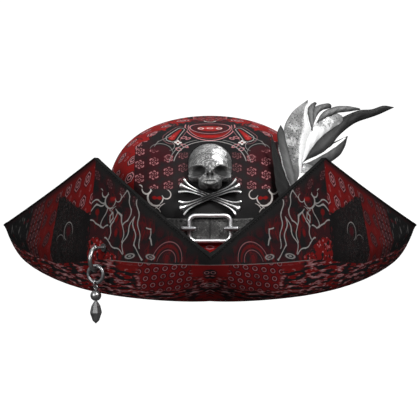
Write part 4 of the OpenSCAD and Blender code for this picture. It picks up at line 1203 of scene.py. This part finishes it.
def below_fold(g, p, q):
    """Ovals on red near the front, an arch in the middle, and stretched zigzags everywhere else."""
    sunk = p.over(165, 80.0) * 11.0
    below = (q + sunk + 0.2).inside(0.5)
    d = -q
    wavy = g.noise(g.vector(p * 0.10, d * 0.5), 0.5, 3.0, 0.6)
    zone = g.noise(g.vector(p * 0.06, d * 0.14), 0.6, 2.0, 0.5)
    streak = g.noise(g.vector(p * 0.075, d * 0.40), 0.95, 2.0, 0.5)
    fine = g.noise(g.vector(p * 0.11, d * 0.60), 1.1, 1.0, 0.5)
    g.paint((0.070, 0.0035, 0.0045), below)
    g.paint(DEEP_RED, below * zone.over(0.50, 0.06))
    g.paint(BLACK, (0.485 - streak).over(0.0, 0.03) * below)
    pale = streak.over(0.53, 0.03) * below * (1.0 - zone.over(0.53, 0.06)) * fine.over(0.44, 0.06)
    g.paint((0.20, 0.085, 0.090), pale)
    g.paint((0.34, 0.20, 0.20), fine.over(0.64, 0.03) * below * streak.over(0.5, 0.05) * 0.8)
    near_fold = (1.0 - d.over(7.0, 2.0)) * (1.0 - (p + wavy * 20.0).over(118, 5.0))
    g.paint((0.11, 0.003, 0.003), below * near_fold * 0.85)
    ovals = below * (1.0 - (p + wavy * 8.0).over(84.0, 3.0)) * p.over(19.0, 3.0)
    ovals = ovals * (1.0 - (d + wavy * 4.0).over(26.0, 2.0))
    g.paint((0.100, 0.003, 0.004), ovals)
    row = (p * -0.12 + d - 4.5).step_of(6.4)
    shift = (row * 0.5).math("FRACT") * 11.0
    along, across = (d * 0.35 + p + shift).wrap(11.0), (p * -0.12 + d - 4.5).wrap(6.4)
    egg = oval(*turned(along, across, 16), (0, 0), (2.9, 1.5))
    g.paint((0.028, 0.002, 0.003), (egg - 1.1).inside(0.6) * ovals)
    g.paint(DEEP_RED, (egg + 0.8).inside(0.6) * ovals)
    g.paint(PINK, (egg.abs() - 0.3).inside(0.4) * ovals * wavy.over(0.40, 0.2) * 0.6)

    arch = below * (1.0 - (p + wavy * 10.0).over(24.0, 2.0)) * (1.0 - (d + wavy * 6.0).over(15.0, 2.0))
    g.paint((0.12, 0.0035, 0.004), arch)
    g.paint(BLACK, oval(p, d, (0, 8.5), (7.5, 3.6)).inside(0.8) * arch)
    g.paint(PINK, ring(p, d, (3.4, 8.5), (2.4, 1.4), 0.6) * arch * 0.6)
    g.paint(ASH, ring(p, d, (0, 24), (4.2, 2.4), 0.6) * below * 0.6)
    g.paint(PINK, ring(p, d, (8.5, 23), (2.6, 1.8), 0.5) * below * 0.5)
    g.paint(MAROON, (d - 36.0).over(0.0, 4.0) * below * 0.6)
    g.paint((0.17, 0.004, 0.004), (d - 38.0).over(0.0, 4.0) * below * streak.over(0.48, 0.04))
    crease = ((q + 0.1).abs() - 0.25).inside(0.4)
    g.paint(ASH, crease * (1.0 - p.over(120, 10.0)) * 0.6)


def brim_material():
    """The brim's print, darkened towards the back as painted shade: p runs along the fold from the beak, q up
    from the fold into the flap.
    """
    g = Shader("brim print", BLACK)
    p, q = g.uv("print")
    from_rim = (p * 0.483 + 7.2).min(p * -0.4 + 141.0) - q
    cloud = g.noise(g.vector(p, q), 0.07, 3.0, 0.6)
    front_of_flap(g, p, q, from_rim, cloud)
    back_of_flap(g, p, q, from_rim)
    # Painted shade: the flaps darken by up to half along the fold towards the back.
    g.shade(1.0 - p.over(215, 130.0) * 0.5)
    g.paint(BLACK, (from_rim - 0.6).inside(1.6))
    below_fold(g, p, q)
    height, rough = cloth_surface(g, p, q)
    return g.finish(rough, height, 0.16, Specular_IOR_Level=0.10)


def inner_brim_material():
    """The inside of the flaps: blossoms on black with red patches, and red by the beak."""
    g = Shader("inner brim print", BLACK)
    p, q = g.uv("print")
    cloud = g.noise(g.vector(p, q), 0.05, 3.0, 0.6)
    beak = 1.0 - p.over(26, 8)
    g.paint(MAROON, cloud.over(0.48, 0.1))
    strokes, glow = blossom((p - 6).wrap(17.0), (p * 0.3 + q).wrap(15.0), 3.6)
    g.paint(MAROON, glow * 0.7)
    g.paint(PINK, strokes * 0.55)
    g.paint(BRIGHT_RED, beak)
    g.paint(PINK, ring(p, q, (0, -2.0), (3.0, 2.0), 0.8))
    red = cloud.over(0.60, 0.02)
    g.paint(DEEP_RED, red)
    hexagon_flowers(g, p, q, (20.0, 18.0), (3.9, 5.2), red)
    height, rough = cloth_surface(g, p, q)
    return g.finish(rough, height, 0.16, Specular_IOR_Level=0.10)


def tape_material():
    """Black ribbed tape, worn in patches."""
    g = Shader("twill tape", (0.0032, 0.0031, 0.0031))
    where = g.place()
    rib = g.wave(where, 0.62, 1.2)
    wear = g.noise(where, 0.11, 4.0, 0.65)
    g.paint((0.0075, 0.0073, 0.0073), wear.over(0.55, 0.2))
    g.shade(rib * 0.5 + 0.7)
    return g.finish(wear * 0.1 + 0.75, rib + g.noise(where, 1.7, 2.0) * 0.6, 0.10, Specular_IOR_Level=0.06)


def thread_material():
    """Dark twisted thread."""
    g = Shader("thread", (0.009, 0.0085, 0.0085))
    where = g.place()
    twist = g.wave(where, 2.4, 0.6)
    g.shade(twist * 0.7 + 0.6)
    return g.finish(twist * -0.1 + 0.7, twist, 0.06, Specular_IOR_Level=0.15)


def suede_material():
    """Grey suede with pale worn patches and dark stains."""
    g = Shader("grey suede", (0.034, 0.0335, 0.033))
    where = g.place()
    broad = g.noise(where, 0.07, 3.0, 0.55)
    nap = g.noise(where, 0.9, 4.0, 0.7)
    g.paint((0.090, 0.088, 0.086), (broad * 0.5 + nap * 0.5).over(0.52, 0.16))
    g.paint((0.30, 0.30, 0.29), g.noise(where, 0.55, 4.0, 0.8).over(0.60, 0.08) * broad.over(0.45, 0.2) * 0.6)
    g.paint(0.014, g.noise(where, 0.33, 3.0, 0.7).over(0.62, 0.12) * 0.7)
    x = Value(g.tree, g.node("ShaderNodeSeparateXYZ", {"Vector": where}).outputs[0])
    g.paint(0.016, (x.abs() - 1.2).inside(2.6) * 0.8)
    return g.finish(nap * 0.2 + 0.72, nap + broad * 1.5, 0.30, Sheen_Weight=0.05, Specular_IOR_Level=0.2)


def metal_material(name, colour, dark, rough, wear=0.5, bump=0.02):
    """Metal with a darker patina in patches, fine scratches and paler worn spots."""
    g = Shader(name, colour)
    where = g.place()
    patch = g.noise(where, 0.16, 4.0, 0.62)
    fine = g.noise(where, 1.3, 3.0, 0.6)
    stretched = g.node("ShaderNodeVectorMath", {0: where, 1: (0.5, 5.0, 0.6)}, operation="MULTIPLY")
    scratch = g.noise(stretched.outputs[0], 0.9, 2.0, 0.7)
    g.paint(dark, (patch * 0.7 + fine * 0.3).over(1.0 - wear * 0.62, 0.22))
    g.paint(tuple(min(1, c * 1.25) for c in rgba(colour)[:3]), fine.over(0.62, 0.1) * 0.35)
    roughness = patch * 0.20 + scratch * 0.08 + (rough - 0.08)
    return g.finish(roughness, fine * 0.5 + scratch * 0.3 + patch, bump, Metallic=1.0)


def bone_material():
    """Polished steel, painted bright at the bones' ends as a painted highlight and dull where they cross as
    painted shade.
    """
    g = Shader("polished bones", 0.075)
    where = g.place()
    fine = g.noise(where, 1.3, 3.0, 0.6)
    patch = g.noise(where, 0.3, 3.0, 0.6)
    # Painted highlight towards the ends, over a dull middle that is painted shade where the bones cross.
    g.paint(0.95, (g.attribute("relief") * 0.9 + patch * 0.3).over(0.62, 0.55))
    g.paint(0.06, patch.over(0.62, 0.1) * 0.5)
    return g.finish(fine * 0.1 + 0.26, patch, 0.03, Metallic=1.0)


def antique_material():
    """Cast silver: dark in its hollows, with painted shade over its jaw and a painted highlight as a bright
    patch on the right of the brow.
    """
    g = Shader("antiqued casting", 0.20)
    where = g.place()
    depth = g.attribute("relief")
    brow_highlight = g.attribute("brow_highlight")
    patch = g.noise(where, 0.22, 4.0, 0.65)
    grain = g.noise(where, 1.5, 4.0, 0.75)
    pits = g.cells(where, 1.1)
    g.paint((0.36, 0.36, 0.355), (patch * 0.4 + grain * 0.6).over(0.51, 0.06))
    g.paint(0.06, (patch * -0.4 + grain * -0.6).over(-0.46, 0.05) * 0.7)
    # Painted shade over the jaw.
    g.paint(0.085, g.attribute("jaw_shade") * 0.75)
    # Painted highlight: the white patch on the right of the brow.
    g.paint(1.0, (brow_highlight + (patch - 0.5) * 1.8 + (grain - 0.5) * 0.6).over(0.42, 0.12))
    hollow = (depth * -1.0).over(0.9, 1.2)
    g.paint(0.030, hollow)
    g.paint(0.05, (depth * -1.0).over(0.2, 0.25) * 0.6)
    g.paint((0.30, 0.30, 0.295), g.attribute("teeth") * 0.85)
    roughness = grain * 0.2 + hollow * 0.3 + 0.36
    return g.finish(roughness, grain + pits * 0.7, 0.22, Metallic=0.75)


# Each look's colour along the edges of a leaf, and along its middle
VANE_TONES = {
    "bright": (0.95, 0.95), "side": (0.95, 0.95), "grey": (0.055, 0.20), "tail": (0.016, 0.065),
    "mid": (0.045, 0.15), "dark": (0.006, 0.012), "striped": (0.024, 0.095),
}


def paint_bright_leaf(g, t, s, plane, barbs, speck):
    """White on the right of its rib, grey and specked on its left, darker at its foot and tip."""
    mottled = g.noise(plane, 0.14, 4.0, 0.7) - 0.5
    left = 1.0 - (s + mottled * 0.2).over(0.56, 0.10)
    tip = (1.0 - s.over(0.42, 0.2)) * t.over(0.72, 0.14)
    g.paint(0.40, left * 0.75)
    g.paint(0.17, left * (mottled + barbs * 0.3).over(0.12, 0.12))
    g.paint(0.20, tip * 0.85)
    foot = (1.0 - (t + mottled * 0.2).over(0.36, 0.06)) * (1.0 - s.over(0.66, 0.12))
    g.paint(0.10, foot * 0.9)
    zone = (1.0 - s.over(0.60, 0.12)) * t.over(0.36, 0.10) * (1.0 - t.over(0.86, 0.1))
    g.paint(0.020, speck.over(0.565, 0.03) * zone * 0.95)
    g.paint(0.05, speck.over(0.63, 0.03) * s.over(0.5, 0.1) * 0.7)
    g.paint(0.03, (s - 0.012).inside(0.03))
    g.paint(0.05, t.over(0.96, 0.03) * 0.8)


def paint_side_leaf(g, t, s, plane, speck):
    """White, and grey towards its tip."""
    cloud = g.noise(plane, 0.10, 2.0, 0.5)
    zone = (t - s * 0.15).over(0.52, 0.08)
    g.paint(0.30, zone * cloud.over(0.48, 0.1) * 0.8)
    g.paint(0.05, speck.over(0.56, 0.03) * zone * (1.0 - s.over(0.75, 0.1)))
    g.paint(0.16, t.over(0.86, 0.10) * 0.9)
    g.paint(0.05, speck.over(0.66, 0.03) * 0.6)


def paint_grey_leaf(g, t, s, run, side, barbs, look):
    """Dark along its edges and at both ends, with a lit middle; the mid look also gets a painted highlight
    along its left edge.
    """
    glow = VANE_TONES[look][1]
    cloud = g.noise(g.vector(run, side), 0.10, 2.0, 0.5)
    edge = (s - 0.5).abs() * -2.0 + 1.0
    reach = {"tail": 0.50, "grey": 0.80}.get(look, 0.76)
    lit = edge.over(0.5, 0.9) * t.over(0.12, 0.2) * (1.0 - t.over(reach, 0.35)) * (cloud * 0.9 + 0.5)
    g.paint(glow, lit)
    g.paint(glow * 1.7, barbs.over(0.60, 0.1) * lit * 0.5)
    g.paint(0.008, (1.0 - edge.over(0.10, 0.08)) * 0.85)
    g.paint(0.008, t.over(0.95, 0.06) * 0.85)
    g.paint(0.008, (1.0 - t.over(0.03, 0.06)) * 0.8)
    if look == "mid":
        # Painted highlight: a pale catch light along the leaf's left edge.
        rim = (s - 0.05).inside(0.05) * barbs.over(0.42, 0.2) * (1.0 - t.over(0.7, 0.1))
        g.paint(0.60, rim)
    if look == "tail":
        streaks = g.noise(g.vector(run * 0.12, side), 1.1, 2.0, 0.6)
        g.paint(0.008, streaks.over(0.54, 0.08) * t.over(0.45, 0.2) * 0.8)
    if look == "striped":
        stripe = ((s - 0.20).abs() - 0.11).inside(0.05) * t.over(0.04, 0.04) * (1.0 - t.over(0.95, 0.04))
        g.paint((1.0, 1.0, 0.99), stripe)


def vane_material(name, look):
    """Barbs that slant away from a rib, over the colours of one look."""
    g = Shader(name, VANE_TONES[look][0])
    run, side = g.uv("barbs")
    t, s = g.uv("share")
    slant = run - side.abs() * 0.9
    barbs = g.noise(g.vector(slant, side * 0.12), 1.5, 3.0, 0.7)
    fine = (slant * 8.5).math("SINE")
    plane = g.vector(run, side)
    speck = g.noise(plane, 0.75, 4.0, 0.7)
    if look == "bright":
        paint_bright_leaf(g, t, s, plane, barbs, speck)
    elif look == "side":
        paint_side_leaf(g, t, s, plane, speck)
    else:
        paint_grey_leaf(g, t, s, run, side, barbs, look)
    g.shade(barbs * 0.32 + 0.82)
    return g.finish(barbs * 0.2 + 0.55, barbs + fine * 0.25, 0.25, Specular_IOR_Level=0.25)


def felt_material(name, colour):
    """Matted fibres."""
    g = Shader(name, colour)
    where = g.place()
    fibre = g.noise(where, 0.8, 5.0, 0.75)
    g.shade(fibre * 0.8 + 0.6)
    return g.finish(fibre * 0.15 + 0.78, fibre, 0.3, Sheen_Weight=0.15)


def leather_material():
    """Brown grained leather."""
    g = Shader("sweatband leather", (0.042, 0.026, 0.018))
    where = g.place()
    grain = g.cells(where, 0.75)
    tone = g.noise(where, 0.05, 3.0)
    g.paint((0.085, 0.052, 0.034), tone.over(0.5, 0.3))
    g.shade(grain * 0.4 + 0.75)
    return g.finish(tone * 0.2 + 0.36, grain, 0.16, Specular_IOR_Level=0.5)


def lining_material():
    """Dark satin, reddish in places."""
    g = Shader("satin lining", (0.020, 0.019, 0.021))
    where = g.place()
    weave = g.wave(where, 0.9, 0.8, "Z")
    tone = g.noise(where, 0.04, 3.0)
    g.paint((0.045, 0.010, 0.013), tone.over(0.52, 0.2))
    g.shade(weave * 0.3 + 0.8)
    return g.finish(tone * 0.15 + 0.40, weave + tone * 3.0, 0.12, Sheen_Weight=0.1)


# ---- The object ----

looks = {
    "crown": crown_material(),
    "brim": brim_material(),
    "inner": inner_brim_material(),
    "tape": tape_material(),
    "thread": thread_material(),
    "suede": suede_material(),
    "antique": antique_material(),
    "polished": metal_material("polished steel", (0.95, 0.95, 0.96), 0.42, 0.34, 0.25),
    "bone": bone_material(),
    "groove": metal_material("blackened groove", 0.035, 0.012, 0.45, 0.6),
    "staple": metal_material("staple steel", (0.26, 0.26, 0.265), 0.09, 0.36, 0.35),
    "plain": metal_material("plain steel", (0.52, 0.52, 0.53), 0.16, 0.30),
    "dark": metal_material("darkened steel", (0.22, 0.22, 0.225), 0.05, 0.34, 0.55),
    "charm": metal_material("charm silver", 0.30, 0.055, 0.30, 0.6, bump=0.05),
    "felt": felt_material("stiffened felt", 0.12),
    "leather": leather_material(),
    "lining": lining_material(),
    "quill": felt_material("quill", (0.72, 0.71, 0.68)),
}
vanes = {look: vane_material(look + " vane", look) for look in VANE_TONES}

CAD_LOOKS = {
    "crown_stiffener": "felt", "brim_board": "felt", "flap_board_right": "felt", "flap_board_back": "felt",
    "flap_board_left": "felt", "crown_lining": "lining", "sweatband": "leather", "hat_band_tab": "suede",
    "hat_band_rivets": "dark", "buckle_ring": "polished", "keeper_right": "staple", "keeper_left": "staple",
    "keeper_plates": "plain", "badge_posts": "plain", "badge_nuts": "plain", "feather_quill": "quill",
    "feather_wrap": "thread", "feather_socket": "dark", "charm_eyelet": "dark", "charm_hook": "charm",
    "hook_washer": "dark", "charm_ring": "dark", "charm_link": "charm", "charm_pin": "charm",
    "charm_bead": "charm", "charm_drop": "charm",
}
for node, look in CAD_LOOKS.items():
    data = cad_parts[node].data
    data.materials.clear()
    data.materials.append(looks[look])

build_crown([looks["crown"]])
brim, brim_print = brim_grid()
brim_shell("brim_print_cover", brim, brim_print, 0.0, COVER_THICK, [looks["brim"]], "brim_outer_cover")
brim_shell("brim_inside_cover", brim, brim_print, INNER_DEPTH, LAYERS, [looks["inner"]], "brim_inner_cover")
build_binding([looks["tape"]])
rim_points, rim_up, rim_out = rim_frames()
closed = np.r_[0:len(rim_points), 0]
for face, level, facing in (("outside", BINDING_PROUD, 1), ("inside", -LAYERS - BINDING_PROUD, -1)):
    line = rim_points + rim_out * level - rim_up * 0.7
    stitches("binding_stitches_" + face, line[closed], facing * rim_out[closed],
             [looks["thread"]], spacing=3.2, long=2.0, thick=0.22)
build_band("suede_band_right", -89.87, 89.87, [looks["suede"]], "hat_band_right")
build_band("suede_band_left", 90.13, 269.87, [looks["suede"]], "hat_band_left")
for edge_name, edge_z in (("low", BAND_LOW + 1.9), ("high", BAND_HIGH - 1.9)):
    sweep = np.radians(np.linspace(-88.5, 268.5, 400))
    heights = np.full(400, edge_z)
    path = crown_surface(sweep, heights, -1.60)
    outward = path - crown_surface(sweep, heights, -0.60)
    stitches("band_stitches_" + edge_name, path, outward, [looks["thread"]], spacing=3.6, long=2.2,
             thick=0.3)
build_skull([looks["antique"]])
build_bone("bone_casting_rising", 1, True, [looks["bone"], looks["groove"]], "bone_rising")
build_bone("bone_casting_falling", -1, False, [looks["bone"], looks["groove"]], "bone_falling")
for node in LEAVES:
    build_leaf(node, vanes)


# ---- Studio ----


def backdrop():
    """A pale floor that lights little from below."""
    floor = bpy.data.meshes.new("floor")
    half, drop = 6.0, -0.30
    corners = [(x * half, y * half, drop) for x, y in ((-1, -1), (1, -1), (1, 1), (-1, 1))]
    floor.from_pydata(corners, [], [(0, 1, 2, 3)])
    paper = bpy.data.materials.new("paper")
    paper.use_nodes = True
    tree = paper.node_tree
    tree.nodes.clear()
    bright = tree.nodes.new("ShaderNodeEmission")
    bright.inputs["Strength"].default_value = 1.1
    matt = tree.nodes.new("ShaderNodeBsdfDiffuse")
    matt.inputs["Color"].default_value = (0.08, 0.08, 0.08, 1)
    by_ray(tree, matt, bright, tree.nodes.new("ShaderNodeOutputMaterial"))
    floor.materials.append(paper)
    piece = bpy.data.objects.new("floor", floor)
    bpy.context.scene.collection.objects.link(piece)


def by_ray(tree, other, seen, out):
    """Shows one shader to the camera and lights the object with the other."""
    ray = tree.nodes.new("ShaderNodeLightPath")
    mix = tree.nodes.new("ShaderNodeMixShader")
    tree.links.new(ray.outputs["Is Camera Ray"], mix.inputs[0])
    tree.links.new(other.outputs[0], mix.inputs[1])
    tree.links.new(seen.outputs[0], mix.inputs[2])
    tree.links.new(mix.outputs[0], out.inputs["Surface"])


def softbox(name, place, target, size, power):
    """A rectangular light at place that faces target, all in metres."""
    light = bpy.data.lights.new(name, "AREA")
    light.shape = "RECTANGLE"
    light.size, light.size_y = size
    light.energy = power
    piece = bpy.data.objects.new(name, light)
    piece.location = place
    piece.rotation_euler = (Vector(target) - Vector(place)).to_track_quat("-Z", "Y").to_euler()
    bpy.context.scene.collection.objects.link(piece)


def studio_world():
    """White where the camera sees it. The light it gives falls off from overhead to below."""
    world = bpy.data.worlds.new("studio")
    world.use_nodes = True
    tree = world.node_tree
    tree.nodes.clear()
    direction = tree.nodes.new("ShaderNodeTexCoord")
    parts = tree.nodes.new("ShaderNodeSeparateXYZ")
    tree.links.new(direction.outputs["Generated"], parts.inputs[0])
    fall = tree.nodes.new("ShaderNodeMapRange")
    for key, setting in (("From Min", -0.4), ("From Max", 0.9), ("To Min", 0.03), ("To Max", 0.50)):
        fall.inputs[key].default_value = setting
    tree.links.new(parts.outputs["Z"], fall.inputs["Value"])
    lit = tree.nodes.new("ShaderNodeBackground")
    tree.links.new(fall.outputs[0], lit.inputs["Strength"])
    lit.inputs["Color"].default_value = (1, 1, 1, 1)
    seen = tree.nodes.new("ShaderNodeBackground")
    seen.inputs["Color"].default_value = (1, 1, 1, 1)
    seen.inputs["Strength"].default_value = 1.1
    by_ray(tree, lit, seen, tree.nodes.new("ShaderNodeOutputWorld"))
    bpy.context.scene.world = world


def camera():
    """A long lens, five degrees above the hat, looking at its middle from the front."""
    distance, elevation = 1.8, math.radians(5)
    view_width, aim = 0.3528, 0.062
    data = bpy.data.cameras.new("camera")
    data.lens = data.sensor_width * distance / view_width
    piece = bpy.data.objects.new("camera", data)
    piece.location = (0, -distance * math.cos(elevation), aim + distance * math.sin(elevation))
    piece.rotation_euler = (math.pi / 2 - elevation, 0, 0)
    bpy.context.scene.collection.objects.link(piece)
    bpy.context.scene.camera = piece


backdrop()
studio_world()
softbox("key", place=(0.55, -1.05, 1.0), target=(0.0, -0.05, 0.06), size=(0.5, 0.4), power=22.0)
softbox("fill", place=(-1.0, -1.1, 0.55), target=(0.0, 0.0, 0.05), size=(0.8, 0.6), power=13.0)
softbox("top", place=(0.1, 0.3, 1.2), target=(0.0, 0.0, 0.06), size=(0.9, 0.6), power=9.0)
camera()
bpy.context.scene.view_settings.view_transform = "Standard"
